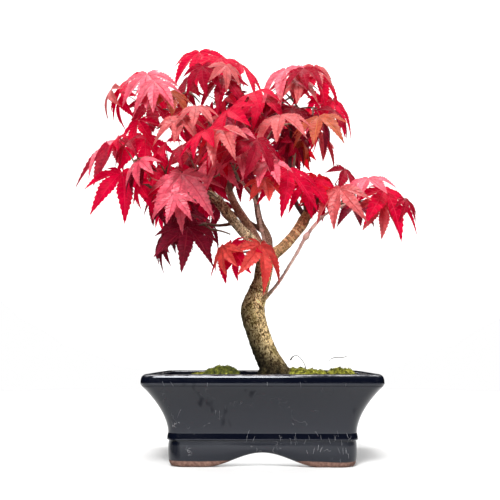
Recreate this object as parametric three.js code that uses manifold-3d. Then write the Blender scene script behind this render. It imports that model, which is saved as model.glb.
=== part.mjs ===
// Maple bonsai in autumn leaf, in a glazed rectangular pot.
// Millimetres, +Z up, X across the front of the pot, Y from the front to the back.
// Limbs are laid out about the pot's centre on the ground; the whole is centred at the end.
import * as THREE from "three";
import { mergeVertices } from "three/addons/utils/BufferGeometryUtils.js";
import Module from "manifold-3d";

const wasm = await Module();
wasm.setup();

const GAP = 0.3;
const UP = new THREE.Vector3(0, 0, 1);

// Pot
const POT_HEIGHT = 75;
const RIM_HALF = 100;
const RIM_HALF_DEPTH = 75;
const FOOT_HALF = 78.3;
const FOOT_HALF_DEPTH = 58.5;
const FLARE_FOOT_Z = 27;
const FLARE_TOP_Z = 66.5;
const FLARE_POWER = 1.7;
const FLARE_RINGS = 6;
const FLARE_RING_POWER = 0.8;
const FLARE_SET_OUT = 0.5;
const FLARE_SET_IN = 1.2;
const FOOT_PROFILE = [
  { out: -2.8, z: 0 },
  { out: -0.9, z: 1.6 },
  { out: -0.4, z: 6 },
  { out: 0.2, z: 14 },
  { out: -0.1, z: 21 },
  { out: 1, z: 21.8 },
  { out: 1, z: 26.2 },
];
const RIM_PROFILE = [
  { out: 0, z: 67.5 },
  { out: -0.4, z: 71 },
  { out: -1.6, z: 73.6 },
  { out: -3.6, z: 75 },
];
const WALL = 7.5;
const MOUTH_BEVEL = { depth: 1.5, width: 1 };
const FLOOR_TOP_Z = 18;
const RECESS_Z = 12;
const SKIRT = { foot: 7, recess: 10.5 };
const CORNER_RADIUS = 11;
const INNER_CORNER_RADIUS = 3;
const CORNER_STEPS = 3;
const ARCH_FRONT = { half: 48, height: 11.5 };
const ARCH_SIDE = { half: 30, height: 8 };
const ARCH_STEPS = 10;
const DRAIN = { radius: 5.5, offset: 38, sides: 12 };

// Soil and moss
const SOIL_TOP_Z = 70;
const SOIL_SHOULDER_Z = 68;
const SOIL_LEVELS = [SOIL_SHOULDER_Z, 58, 46, 34, FLOOR_TOP_Z];
const SOIL_INSET = 0.5;
const CUSHION = { sides: 14, shells: 3, crown: 0.6, lobes: [0.1, 0.06], bumps: 0.12 };
const MOSS = [
  { name: "moss_left", x: -35, y: -28, length: 36, width: 30, height: 9.5, seed: 3 },
  { name: "moss_right_near", x: 41, y: -34, length: 40, width: 32, height: 6.5, seed: 5 },
  { name: "moss_right_far", x: 72, y: -8, length: 26, width: 44, height: 7, seed: 8 },
  { name: "moss_back_left", x: -48, y: 32, length: 50, width: 34, height: 7.5, seed: 12 },
  { name: "moss_back_right", x: 32, y: 34, length: 44, width: 34, height: 8, seed: 15 },
];

// Trunk and boughs: routes through a few named turns, with a radius at each
const LIMBS = [
  {
    name: "trunk", sides: 11, steps: 16,
    radii: [14.5, 12.6, 11, 10.8, 10.8, 11.6, 9.2, 8.2, 8.6, 7.5],
    route: [[14, 2, 60], [11, 2, 76], [3.4, 3, 92], [-4, 4, 112], [-8.6, 4, 131],
      [-6, 4, 143], [0, 2, 160], [3, 0, 176], [5, 0, 186], [6, 0, 191]],
  },
  {
    name: "bough_left", sides: 8, steps: 9, radii: [6.5, 5.4, 4.7, 4.3, 5.0, 3.4],
    route: [[2, -1, 181], [-9, -8, 196], [-22, -15, 209], [-36, -23, 226], [-44, -27, 234],
      [-50, -29, 237]],
  },
  {
    name: "bough_right", sides: 8, steps: 9, radii: [6.5, 5.3, 5.0, 4.9, 5.9, 3.6],
    route: [[7, 1, 182], [20, 4, 192], [29, 6, 202], [38, 8, 214], [43, 8, 223], [47, 7, 229]],
  },
  {
    name: "bough_back_left", sides: 7, steps: 12, radii: [5.6, 4.6, 4.0, 3.4, 3.0, 2.6],
    route: [[2, 3, 184], [-10, 12, 210], [-27, 18, 239], [-36, 20, 262], [-52, 19, 297], [-66, 16, 323]],
  },
  {
    name: "bough_back", sides: 7, steps: 10, radii: [5.2, 4.2, 3.4, 2.8, 2.2],
    route: [[5, 4, 183], [6, 20, 203], [-2, 40, 226], [-6, 56, 252], [-12, 66, 282]],
  },
  {
    name: "bough_front", sides: 6, steps: 8, radii: [2.6, 2.0, 1.9, 1.7, 1.5],
    route: [[5, -5, 186], [0, -17, 205], [-5, -26, 228], [-13, -34, 241], [-21, -40, 247]],
  },
  {
    name: "bough_low_right", sides: 6, steps: 11, radii: [2.6, 2.1, 2.0, 2.3, 1.8, 1.5],
    route: [[-3, 0, 137], [14, -8, 155], [31, -13, 181], [42, -16, 200], [58, -20, 218], [78, -24, 228]],
  },
  {
    name: "bough_upper_right", sides: 6, steps: 9, radii: [2.8, 2.2, 1.9, 1.7, 1.3],
    route: [[43, 9, 222], [34, 14, 238], [29, 16, 262], [29, 13, 298], [31, 8, 331]],
  },
  {
    name: "bough_right_inner", sides: 6, steps: 5, radii: [2.6, 1.9, 1.5],
    route: [[45, 7, 226], [40, -4, 240], [32, -20, 250]],
  },
  {
    name: "bough_right_outer", sides: 6, steps: 5, radii: [2.6, 1.9, 1.5],
    route: [[46, 7, 227], [53, 5, 236], [57, -2, 247]],
  },
  {
    name: "bough_left_outer", sides: 6, steps: 7, radii: [2.4, 1.7, 1.5, 1.2],
    route: [[-46, -28, 235], [-62, -31, 231], [-80, -34, 231], [-98, -35, 239]],
  },
  {
    name: "bough_left_lower", sides: 6, steps: 5, radii: [2.0, 1.5, 1.2],
    route: [[-24, -16, 212], [-40, -14, 210], [-52, -12, 212]],
  },
  {
    name: "bough_top", sides: 6, steps: 8, radii: [2.8, 2.1, 1.7, 1.3],
    route: [[-31, 19, 248], [-34, 10, 280], [-38, 0, 312], [-40, -6, 336]],
  },
  {
    name: "bough_centre", sides: 6, steps: 7, radii: [1.8, 1.5, 1.3, 1.1],
    route: [[-3, -21, 215], [-4, -14, 240], [0, -12, 262], [6, -10, 284]],
  },
  {
    name: "bough_back_right", sides: 6, steps: 7, radii: [2.8, 2.2, 1.9, 1.4],
    route: [[41, 8, 219], [44, 26, 236], [40, 44, 258], [34, 58, 284]],
  },
  {
    name: "bough_back_low", sides: 6, steps: 7, radii: [2.6, 2.1, 1.8, 1.4],
    route: [[3, 28, 211], [-14, 44, 226], [-38, 56, 242], [-60, 64, 256]],
  },
];

// Root flare: buttresses round the trunk's foot, each through three places out from its axis
const FLARE_TURNS = [10, 80, 150, 215, 300];
const FLARE_LIFTS = [12, -1, -9];
const FLARE_SPREADS = [[5, 12, 19], [5, 12, 16]];
const FLARE_RADII = [4, 4.6, 3.4];

// Leaves
const CROWN_AXIS = new THREE.Vector3(-14, 6, 0);
const FRONT = new THREE.Vector3(0, -1, 0);
const LIGHT_PULL = 0.45;
const LIGHT_DEPTH = 40;
const LEAF_SWING = 50;
const AIM_SWING = 14;
const LEAF_LENGTH = 40;
const LEAF_HALF_THICKNESS = 0.9;
const LEAF_ARCH = 0.3;
const LEAF_SIDE_ARCH = 0.35;
const LEAD_SIZE = { least: 0.95, spread: 0.2 };
const MINOR_SIZE = { least: 0.66, spread: 0.3 };
const BLADE_BUTT = { turn: 180, reach: 0.05 };
const LOBES = [
  { turn: 0, reach: 1, broad: true },
  { turn: 40, reach: 0.95, broad: true },
  { turn: 80, reach: 0.74, broad: false },
];
const NOTCHES = [
  { turn: 20, reach: 0.43 },
  { turn: 60, reach: 0.38 },
  { turn: 120, reach: 0.24 },
];
const SPARE_GROWTH = 0.03;
const LOBE_WAIST = 0.52;
const LOBE_HALF_WIDTH = 0.18;
const PETIOLE = { shortest: 15, spread: 9, radii: [0.35, 0.6, 0.35], dip: 2.6, sink: 0.15, rise: 0.35 };
const PETIOLE_ANGLE = { middle: 52, swing: 20 };
const LEAD_SWING = 40;
const PARTNER_SWING = 30;
const DROOP = { least: 40, spread: 36 };
const LEAF_SPACING = 10;
const LEAF_NEIGHBOURHOOD = 2.2 * LEAF_LENGTH;
const LEAF_POSES = 8;
const LEAF_MARGIN = 1.02;
const LEAF_LIMB_CLEARANCE = 1.5;

// The open space over the fork, pruned so that the boughs show
const CLEARING = { middle: [-2, -45, 212], reach: [50, 90, 25] };

// Twigs
const INTERNODE = 21;
const BARE_TWIG = 8;
const TWIG_STEP = 20;
const STEM_RADII = [1.6, 1.3, 1.1];
const TWIG_RADII = [0.4, 1, 0.9, 0.9];
const TWIG_RISE = 0.1;
const TWIG_SWAY = 0.16;
const HUB_SHARE = 0.45;
const FORK_SHARES = [0.45, 0.7, 0.9];
const SPRIG_REACH = 0.55;

// Masses of foliage: the limb each grows from, the middle and half-lengths of its space,
// and its leading leaves: the place of each blade's base, then how far its middle lobe points round
// from the front, how far it hangs below the level, and its size
const MASSES = [
  {
    name: "foliage_left_tip", limb: "bough_left_outer", seed: 86, sprigs: 4,
    middle: [-124, -28, 256], reach: [82, 74, 84],
    leads: [[-131, -40, 284, -85, 34, 1.35], [-111, -14, 295, 10, 55, 1.1], [-128, -34, 256, 25, 55, 1.15],
      [-102, -4, 269, -20, 55, 1]],
  },
  {
    name: "foliage_left_front", limb: "bough_left", seed: 116, sprigs: 2,
    middle: [-64, -70, 236], reach: [60, 60, 58],
    leads: [[-68, -72, 243, -5, 55, 1.15], [-38, -64, 259, -30, 48, 0.95]],
  },
  {
    name: "foliage_lower_left", limb: "bough_left_lower", seed: 283, sprigs: 2,
    middle: [-66, -18, 206], reach: [58, 67, 60],
    leads: [[-74, -22, 222, -15, 58, 0.85], [-67, -34, 205, 5, 58, 1.05], [-54, 0, 216, 40, 50, 0.8]],
  },
  {
    name: "foliage_top_left", limb: "bough_back_left", seed: 228, sprigs: 5,
    middle: [-104, -14, 330], reach: [72, 89, 70],
    leads: [[-106, -42, 348, -8, 48, 1], [-129, -8, 359, -60, 52, 1.05], [-112, 14, 344, 20, 55, 1],
      [-117, -18, 312, -30, 48, 0.8], [-72, -58, 299, 0, 42, 0.8], [-84, -40, 331, 20, 50, 0.75]],
  },
  {
    name: "foliage_top", limb: "bough_top", seed: 88, sprigs: 5,
    middle: [-38, -28, 350], reach: [67, 79, 60],
    leads: [[-60, -20, 380, -15, 50, 1], [-38, -36, 366, 20, 50, 0.9], [-20, -14, 370, 50, 45, 0.95],
      [-34, -56, 338, -10, 50, 0.85], [-6, -62, 321, -50, 25, 0.95], [-72, 4, 366, -40, 55, 0.9]],
  },
  {
    name: "foliage_upper_right", limb: "bough_upper_right", seed: 41, sprigs: 6,
    middle: [46, -20, 324], reach: [70, 74, 67],
    leads: [[23, -34, 355, -20, 42, 1], [52, -14, 361, 40, 52, 1.1], [70, -6, 336, 40, 55, 1.05],
      [52, -44, 304, -15, 42, 0.95], [17, -58, 300, -5, 28, 0.95]],
  },
  {
    name: "foliage_centre", limb: "bough_front", seed: 208, sprigs: 3,
    middle: [-30, -82, 256], reach: [62, 55, 72],
    leads: [[-57, -62, 308, -10, 38, 0.7], [-25, -92, 272, -40, 28, 1], [-18, -86, 262, 20, 45, 0.8]],
  },
  {
    name: "foliage_right_inner", limb: "bough_right_inner", seed: 63, sprigs: 2,
    middle: [12, -58, 246], reach: [58, 58, 55],
    leads: [[4, -48, 270, 50, 32, 0.8], [6, -80, 251, -35, 34, 0.8], [23, -62, 249, 5, 50, 1],
      [3, -70, 238, 22, 50, 0.72]],
  },
  {
    name: "foliage_right_outer", limb: "bough_right_outer", seed: 103, sprigs: 1,
    middle: [50, -22, 246], reach: [43, 53, 43],
    leads: [[52, -22, 254, 30, 50, 0.9], [44, -34, 246, -20, 50, 0.85]],
  },
  {
    name: "foliage_right_tip", limb: "bough_low_right", seed: 122, sprigs: 3,
    middle: [98, -22, 234], reach: [65, 65, 60],
    leads: [[80, -6, 266, 40, 48, 0.8], [97, -34, 249, -25, 35, 0.85], [113, -28, 240, 25, 42, 1.15],
      [91, 8, 237, 5, 48, 0.8], [70, -44, 237, -30, 48, 0.95]],
  },
  {
    name: "foliage_fork", limb: "trunk", seed: 75, sprigs: 1,
    middle: [-14, -40, 178], reach: [50, 48, 48],
    leads: [[-1, -46, 186, 25, 52, 0.95], [-27, -38, 189, -40, 52, 1]],
    root: [-2, -2, 176], hub: [-12, -22, 184],
  },
  {
    name: "foliage_heart", limb: "bough_centre", seed: 400, sprigs: 3,
    middle: [0, -12, 300], reach: [74, 60, 60],
    leads: [[-22, -22, 296], [30, -12, 326, 25, 45, 0.95], [2, -16, 337, -15, 45, 1]],
  },
  {
    name: "foliage_back_left", limb: "bough_back_low", seed: 208, sprigs: 3,
    middle: [-84, 76, 268], reach: [74, 74, 74],
    leads: [[-104, 62, 286], [-84, 98, 262], [-60, 84, 294], [-94, 78, 246]],
  },
  {
    name: "foliage_back_top", limb: "bough_back", seed: 371, sprigs: 4,
    middle: [-26, 74, 322], reach: [79, 79, 72],
    leads: [[-52, 58, 352], [-24, 92, 340], [2, 60, 356], [8, 96, 312], [-56, 96, 318]],
  },
  {
    name: "foliage_back_right", limb: "bough_back_right", seed: 144, sprigs: 3,
    middle: [42, 66, 332], reach: [62, 70, 50],
    leads: [[56, 50, 344, 60, 45, 1], [32, 92, 330, 150, 50, 1], [62, 72, 332, 110, 48, 1],
      [24, 70, 352, 170, 40, 0.95]],
  },
];

const COLOURS = {
  glaze: new THREE.MeshStandardMaterial({ color: "#10131f", roughness: 0.12, metalness: 0 }),
  soil: new THREE.MeshStandardMaterial({ color: "#2a211a", roughness: 0.95, metalness: 0 }),
  moss: new THREE.MeshStandardMaterial({ color: "#6f7c1e", roughness: 0.95, metalness: 0 }),
  bark: new THREE.MeshStandardMaterial({ color: "#8a7048", roughness: 0.85, metalness: 0 }),
  leaf: new THREE.MeshStandardMaterial({ color: "#c22136", roughness: 0.55, metalness: 0 }),
};

const plant = new THREE.Group();
plant.name = "plant";

// Shared helpers

function addPiece(name, geometry, material) {
  const mesh = new THREE.Mesh(geometry, material);
  mesh.name = name;
  plant.add(mesh);
}

function toSolid(geometry) {
  const bare = geometry.clone();
  bare.deleteAttribute("normal");
  bare.deleteAttribute("uv");
  const merged = mergeVertices(bare, 1e-4);
  return new wasm.Manifold(new wasm.Mesh({
    numProp: 3,
    vertProperties: new Float32Array(merged.attributes.position.array),
    triVerts: new Uint32Array(merged.index.array),
  }));
}

function toGeometry(solid) {
  const mesh = solid.getMesh();
  const geometry = new THREE.BufferGeometry();
  geometry.setAttribute("position", new THREE.BufferAttribute(mesh.vertProperties, 3));
  geometry.setIndex(new THREE.BufferAttribute(mesh.triVerts, 1));
  return geometry;
}

function meshFrom(points, faces) {
  const geometry = new THREE.BufferGeometry();
  geometry.setAttribute("position", new THREE.Float32BufferAttribute(points.flat(), 3));
  geometry.setIndex(faces.flat());
  return geometry;
}

// The largest of a solid's separate bodies, so that shavings are dropped
function largestBody(solid) {
  return solid.decompose().reduce((best, body) => (body.volume() > best.volume() ? body : best));
}

function union(solids) {
  return wasm.Manifold.union(solids);
}

function vector(triple) {
  return new THREE.Vector3(...triple);
}

function radians(degrees) {
  return degrees * Math.PI / 180;
}

function lerp(from, to, share) {
  return from + (to - from) * share;
}

// Small repeatable random numbers between 0 and 1
function seededRandom(seed) {
  let state = seed >>> 0;
  return () => {
    state = (state + 0x6d2b79f5) >>> 0;
    let mixed = Math.imul(state ^ (state >>> 15), state | 1);
    mixed ^= mixed + Math.imul(mixed ^ (mixed >>> 7), mixed | 61);
    return ((mixed ^ (mixed >>> 14)) >>> 0) / 4294967296;
  };
}

// Closed skin through rings of equal length, with a fan over each end
function loft(rings) {
  const count = rings[0].length;
  const points = rings.flat();
  const faces = [];
  for (let level = 0; level < rings.length - 1; level += 1) {
    for (let index = 0; index < count; index += 1) {
      const next = (index + 1) % count;
      const a = level * count + index;
      const b = level * count + next;
      faces.push([a, b, b + count], [a, b + count, a + count]);
    }
  }
  const last = (rings.length - 1) * count;
  for (let index = 1; index < count - 1; index += 1) {
    faces.push([0, index + 1, index], [last, last + index, last + index + 1]);
  }
  return meshFrom(points, faces);
}

// Pot, soil and moss

function halfDepth(half) {
  const share = (half - FOOT_HALF) / (RIM_HALF - FOOT_HALF);
  return FOOT_HALF_DEPTH + share * (RIM_HALF_DEPTH - FOOT_HALF_DEPTH);
}

function roundedRing(half, z, inset) {
  const radius = Math.max(CORNER_RADIUS - inset, INNER_CORNER_RADIUS);
  const ring = [];
  for (let corner = 0; corner < 4; corner += 1) {
    const signX = corner === 0 || corner === 3 ? 1 : -1;
    const signY = corner < 2 ? 1 : -1;
    for (let step = 0; step <= CORNER_STEPS; step += 1) {
      const angle = (corner + step / CORNER_STEPS) * Math.PI / 2;
      const x = signX * (half - inset - radius) + radius * Math.cos(angle);
      const y = signY * (halfDepth(half) - inset - radius) + radius * Math.sin(angle);
      ring.push([x, y, z]);
    }
  }
  return ring;
}

function flareHalf(z) {
  const share = Math.max(z - FLARE_FOOT_Z, 0) / (FLARE_TOP_Z - FLARE_FOOT_Z);
  return FOOT_HALF + FLARE_SET_OUT + (RIM_HALF - FLARE_SET_IN - FOOT_HALF) * share ** FLARE_POWER;
}

function archSolid(arch, through) {
  const outline = new THREE.Shape();
  outline.moveTo(-arch.half, -1);
  for (let step = 0; step <= ARCH_STEPS; step += 1) {
    const x = lerp(-arch.half, arch.half, step / ARCH_STEPS);
    const rise = Math.cos(x / arch.half * Math.PI / 2) ** 2;
    outline.lineTo(x, arch.height * rise - 0.01);
  }
  outline.lineTo(arch.half, -1);
  const geometry = new THREE.ExtrudeGeometry(outline, { depth: through, bevelEnabled: false });
  geometry.translate(0, 0, -through / 2);
  geometry.rotateX(Math.PI / 2);
  return geometry;
}

function makePot() {
  const inner = WALL + MOUTH_BEVEL.width;
  const rings = [
    roundedRing(FOOT_HALF, RECESS_Z, SKIRT.recess),
    roundedRing(FOOT_HALF + FOOT_PROFILE[0].out, 0, SKIRT.foot),
  ];
  FOOT_PROFILE.forEach(({ out, z }) => rings.push(roundedRing(FOOT_HALF + out, z, 0)));
  for (let step = 0; step <= FLARE_RINGS; step += 1) {
    const z = lerp(FLARE_FOOT_Z, FLARE_TOP_Z, (step / FLARE_RINGS) ** FLARE_RING_POWER);
    rings.push(roundedRing(flareHalf(z), z, 0));
  }
  RIM_PROFILE.forEach(({ out, z }) => rings.push(roundedRing(RIM_HALF + out, z, 0)));
  rings.push(roundedRing(RIM_HALF, POT_HEIGHT, WALL));
  rings.push(roundedRing(RIM_HALF, POT_HEIGHT - MOUTH_BEVEL.depth, inner));
  SOIL_LEVELS.forEach((z) => rings.push(roundedRing(flareHalf(z), z, inner)));
  const body = toSolid(loft(rings));
  const front = archSolid(ARCH_FRONT, 3 * RIM_HALF);
  const side = archSolid(ARCH_SIDE, 3 * RIM_HALF).rotateZ(Math.PI / 2);
  const cuts = [toSolid(front), toSolid(side)];
  [-1, 1].forEach((end) => {
    const hole = new THREE.CylinderGeometry(DRAIN.radius, DRAIN.radius, FLOOR_TOP_Z, DRAIN.sides);
    hole.rotateX(Math.PI / 2);
    hole.translate(end * DRAIN.offset, 0, (RECESS_Z + FLOOR_TOP_Z) / 2);
    cuts.push(toSolid(hole));
  });
  return toGeometry(body.subtract(union(cuts)));
}

function makeSoil() {
  const inset = WALL + MOUTH_BEVEL.width + SOIL_INSET;
  const rings = SOIL_LEVELS.toReversed().map((z) => {
    const level = z === FLOOR_TOP_Z ? z + GAP : z;
    return roundedRing(flareHalf(z), level, inset);
  });
  rings.push(roundedRing(flareHalf(SOIL_SHOULDER_Z), SOIL_TOP_Z, inset));
  return loft(rings);
}

// A low cushion with a lobed edge and a flat underside
function makeMoss(moss) {
  const random = seededRandom(moss.seed);
  const phase = random() * Math.PI * 2;
  const { sides, shells, crown, lobes, bumps } = CUSHION;
  const rings = [];
  for (let shell = 0; shell <= shells; shell += 1) {
    const lift = shell / (shells + crown) * Math.PI / 2;
    const ring = [];
    for (let side = 0; side < sides; side += 1) {
      const angle = side / sides * Math.PI * 2;
      const lobe = 1 + lobes[0] * Math.cos(3 * angle + phase) + lobes[1] * Math.cos(5 * angle - phase);
      const spread = lobe * Math.cos(lift);
      const bump = 1 + bumps * (random() - 0.5) * Math.min(shell, 1);
      ring.push([
        moss.x + moss.length / 2 * spread * Math.cos(angle),
        moss.y + moss.width / 2 * spread * Math.sin(angle),
        SOIL_TOP_Z + GAP + moss.height * Math.sin(lift) * bump,
      ]);
    }
    rings.push(ring);
  }
  return loft(rings);
}

// Limbs

function radiusAt(radii, share) {
  const place = share * (radii.length - 1);
  const index = Math.min(Math.floor(place), radii.length - 2);
  return lerp(radii[index], radii[index + 1], place - index);
}

// A tapering tube with a flat face at each end; spare is added all round and past both ends
function tube(curve, radii, sides, steps, spare) {
  const frames = curve.computeFrenetFrames(steps, false);
  const rings = [];
  for (let step = 0; step <= steps; step += 1) {
    const share = step / steps;
    const along = spare * ((step === steps) - (step === 0));
    const centre = curve.getPointAt(share).addScaledVector(frames.tangents[step], along);
    const radius = radiusAt(radii, share) + spare;
    const ring = [];
    for (let side = 0; side < sides; side += 1) {
      const angle = side / sides * Math.PI * 2;
      const point = centre.clone();
      point.addScaledVector(frames.normals[step], radius * Math.cos(angle));
      point.addScaledVector(frames.binormals[step], radius * Math.sin(angle));
      ring.push(point.toArray());
    }
    rings.push(ring);
  }
  return toSolid(loft(rings));
}

// Everything of the trunk below the soil's surface
function groundCut() {
  const [x, y] = LIMBS[0].route[0];
  const geometry = new THREE.BoxGeometry(POT_HEIGHT, POT_HEIGHT, POT_HEIGHT);
  geometry.translate(x, y, SOIL_TOP_Z + GAP - POT_HEIGHT / 2);
  return toSolid(geometry);
}

function rootFlare() {
  const foot = vector(LIMBS[0].route[1]);
  return union(FLARE_TURNS.map((degrees, index) => {
    const outward = new THREE.Vector3(Math.cos(radians(degrees)), Math.sin(radians(degrees)), 0);
    const spreads = FLARE_SPREADS[index % 2];
    const route = FLARE_LIFTS.map((lift, place) => (
      foot.clone().addScaledVector(UP, lift).addScaledVector(outward, spreads[place])));
    return tube(new THREE.CatmullRomCurve3(route), FLARE_RADII, 5, 3, 0);
  }));
}

function makeLimbs() {
  const made = new Map();
  LIMBS.forEach((limb) => {
    const curve = new THREE.CatmullRomCurve3(limb.route.map(vector));
    let solid = tube(curve, limb.radii, limb.sides, limb.steps, 0);
    if (limb.name === "trunk") {
      solid = solid.add(rootFlare()).subtract(groundCut());
    } else {
      const others = [...made.values()].map((other) => other.clearance);
      solid = largestBody(solid.subtract(union(others)));
    }
    const clearance = tube(curve, limb.radii, limb.sides, limb.steps, GAP);
    made.set(limb.name, { ...limb, curve, solid, clearance });
  });
  return made;
}

// Growth: twigs and leaves of one mass, as places and directions only

function turned(direction, axis, degrees) {
  return direction.clone().applyAxisAngle(axis, radians(degrees));
}

// Level direction from the crown's axis out to a point
function outwardFrom(point) {
  return new THREE.Vector3(point.x - CROWN_AXIS.x, point.y - CROWN_AXIS.y, 0).normalize();
}

// A leaf is offered in a few poses; the first that fits among its neighbours is kept later
function growLeaf(node, direction, rank, random) {
  const length = PETIOLE.shortest + PETIOLE.spread * random();
  const base = node.clone().addScaledVector(direction, length);
  return offerLeaf(node, base, direction, rank, random, []);
}

function offerLeaf(node, base, direction, rank, random, aim) {
  const pose = () => shapeLeaf(node, base, direction, rank, random, aim);
  return { rank, poses: Array.from({ length: LEAF_POSES }, pose) };
}

function shapeLeaf(node, base, direction, rank, random, aim) {
  const facing = THREE.MathUtils.clamp((LIGHT_DEPTH - base.y) / LIGHT_DEPTH, 0, 1);
  const level = new THREE.Vector3(direction.x, direction.y, 0).add(outwardFrom(base)).normalize();
  level.addScaledVector(FRONT, LIGHT_PULL * facing).normalize();
  const [turn, hang, fullness] = aim;
  const aimed = aim.length > 0;
  const swing = aimed ? AIM_SWING : LEAF_SWING;
  const heading = turned(aimed ? turned(FRONT, UP, turn) : level, UP, swing * (random() - 0.5));
  const wander = random();
  const droop = radians(aimed ? hang + swing * (wander - 0.5) : DROOP.least + DROOP.spread * wander);
  const midrib = heading.clone().multiplyScalar(Math.cos(droop)).addScaledVector(UP, -Math.sin(droop));
  const across = new THREE.Vector3().crossVectors(midrib, UP).normalize();
  const face = new THREE.Vector3().crossVectors(across, midrib).normalize();
  const roll = swing * (random() - 0.5);
  const range = rank === 0 ? LEAD_SIZE : MINOR_SIZE;
  const chance = range.least + range.spread * random();
  const size = LEAF_LENGTH * (aimed ? fullness : chance);
  return {
    node, base, midrib, rank, size,
    face: turned(face, midrib, roll),
    across: turned(across, midrib, roll),
  };
}

// Place on a blade at a reach and a turn from its midrib, in blade lengths and degrees
function bladePoint(leaf, reach, turn, lift) {
  const angle = radians(turn);
  const sag = LEAF_ARCH * reach * reach * (1 + LEAF_SIDE_ARCH * Math.sin(angle) ** 2);
  return leaf.base.clone()
    .addScaledVector(leaf.midrib, leaf.size * reach * Math.cos(angle))
    .addScaledVector(leaf.across, leaf.size * reach * Math.sin(angle))
    .addScaledVector(leaf.face, lift - leaf.size * sag);
}

function leafMarks(leaf) {
  const tips = LOBES.flatMap((lobe) => (lobe.turn === 0 ? [0] : [lobe.turn, -lobe.turn])
    .map((turn) => bladePoint(leaf, lobe.reach, turn, 0)));
  return [leaf.base, bladePoint(leaf, 0.5, 0, 0), ...tips];
}

function arcBetween(from, to, random) {
  const length = from.distanceTo(to);
  const side = new THREE.Vector3().crossVectors(to.clone().sub(from), UP).normalize();
  const bend = from.clone().lerp(to, 0.5);
  bend.addScaledVector(UP, TWIG_RISE * length);
  bend.addScaledVector(side, TWIG_SWAY * length * (random() - 0.5));
  return new THREE.QuadraticBezierCurve3(from, bend, to);
}

// The nearest place on the branches so far from which a new twig can fork
function nearestFork(twigs, end) {
  const places = twigs.flatMap(({ curve }) => FORK_SHARES.map((share) => curve.getPoint(share)));
  return places.reduce((best, place) => (place.distanceTo(end) < best.distanceTo(end) ? place : best));
}

// A place for one more spray, part of the way out through the mass's space
function sprigEnd(mass, random) {
  const turn = random() * Math.PI * 2;
  const rise = 2 * random() - 1;
  const level = Math.sqrt(1 - rise * rise);
  const way = [level * Math.cos(turn), level * Math.sin(turn), rise];
  return vector(way.map((share, axis) => mass.middle[axis] + SPRIG_REACH * mass.reach[axis] * share));
}

function growMass(mass, limbs) {
  const random = seededRandom(mass.seed);
  const limb = limbs.get(mass.limb);
  const root = mass.root ? vector(mass.root) : limb.curve.getPointAt(1);
  const hub = mass.hub ? vector(mass.hub) : root.clone().lerp(vector(mass.middle), HUB_SHARE);
  const stem = arcBetween(root, hub, random);
  const twigs = [{ curve: stem, radii: STEM_RADII }];
  const leaves = [];
  const sprig = () => ({ blade: sprigEnd(mass, random), aim: [], rank: 1 });
  const leads = mass.leads.map(([x, y, z, ...aim]) => ({ blade: vector([x, y, z]), aim, rank: 0 }));
  const sprigs = Array.from({ length: mass.sprigs }, sprig);
  [...leads, ...sprigs].forEach(({ blade, aim, rank }) => {
    const outward = outwardFrom(blade);
    const away = blade.clone().sub(hub).normalize().add(outward).normalize();
    const petiole = turned(away, UP, LEAD_SWING * (random() - 0.5));
    petiole.addScaledVector(UP, PETIOLE.rise).normalize();
    const length = PETIOLE.shortest + PETIOLE.spread * random();
    const node = blade.clone().addScaledVector(petiole, -length);
    const twig = arcBetween(nearestFork(twigs, node), node, random);
    twigs.push({ curve: twig, radii: TWIG_RADII });
    leaves.push(offerLeaf(node, blade, petiole, rank, random, aim));
    growPairs(twig, petiole, leaves, random);
  });
  return { mass, twigs, leaves };
}

// Opposite pairs of leaves along a twig, each pair square to the next;
// the leaf at the twig's end and its partner are the last pair
function growPairs(twig, petiole, leaves, random) {
  const length = twig.getLength();
  const tangent = twig.getTangent(1);
  const partner = petiole.clone().reflect(tangent).negate();
  leaves.push(growLeaf(twig.getPoint(1), turned(partner, UP, PARTNER_SWING * (random() - 0.5)), 1, random));
  const side = new THREE.Vector3().crossVectors(tangent, petiole).normalize();
  for (let back = INTERNODE, pair = 0; back < length - BARE_TWIG; back += INTERNODE, pair += 1) {
    const share = 1 - back / length;
    const node = twig.getPointAt(share);
    const forward = twig.getTangentAt(share);
    const square = turned(side, forward, 90 * pair);
    [1, -1].forEach((hand) => {
      const spread = radians(PETIOLE_ANGLE.middle + PETIOLE_ANGLE.swing * (random() - 0.5));
      const direction = forward.clone().multiplyScalar(Math.cos(spread));
      direction.addScaledVector(square, hand * Math.sin(spread));
      leaves.push(growLeaf(node, direction, 2, random));
    });
  }
}

// Which leaves are kept: inside the mass's space, clear of limbs and not through another leaf

function insideSpace(point, mass) {
  const offsets = point.toArray().map((value, axis) => (value - mass.middle[axis]) / mass.reach[axis]);
  return Math.hypot(...offsets) <= 1;
}

function clearOfLimbs(marks, limbPoints) {
  return marks.every((mark) => limbPoints.every((limb) => (
    mark.distanceTo(limb.point) > limb.radius + LEAF_LIMB_CLEARANCE)));
}

// Does the line from one point to another pass through the triangle of three corners?
function pierces(from, to, corners) {
  const edgeOne = corners[1].clone().sub(corners[0]);
  const edgeTwo = corners[2].clone().sub(corners[0]);
  const line = to.clone().sub(from);
  const normal = edgeOne.clone().cross(edgeTwo);
  const slope = -line.dot(normal);
  if (Math.abs(slope) < 1e-9) {
    return false;
  }
  const start = from.clone().sub(corners[0]);
  const swept = start.clone().cross(line);
  const along = start.dot(normal) / slope;
  const first = edgeTwo.dot(swept) / slope;
  const second = -edgeOne.dot(swept) / slope;
  return along >= 0 && along <= 1 && first >= 0 && second >= 0 && first + second <= 1;
}

// The five long lobes from one side of the blade to the other, a little longer than they are
function lobeTips(leaf) {
  const [middle, ...sides] = LOBES;
  const left = sides.map((lobe) => ({ ...lobe, turn: -lobe.turn })).reverse();
  const lobes = [...left, middle, ...sides];
  return lobes.map(({ turn, reach }) => bladePoint(leaf, reach * LEAF_MARGIN, turn, 0));
}

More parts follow.
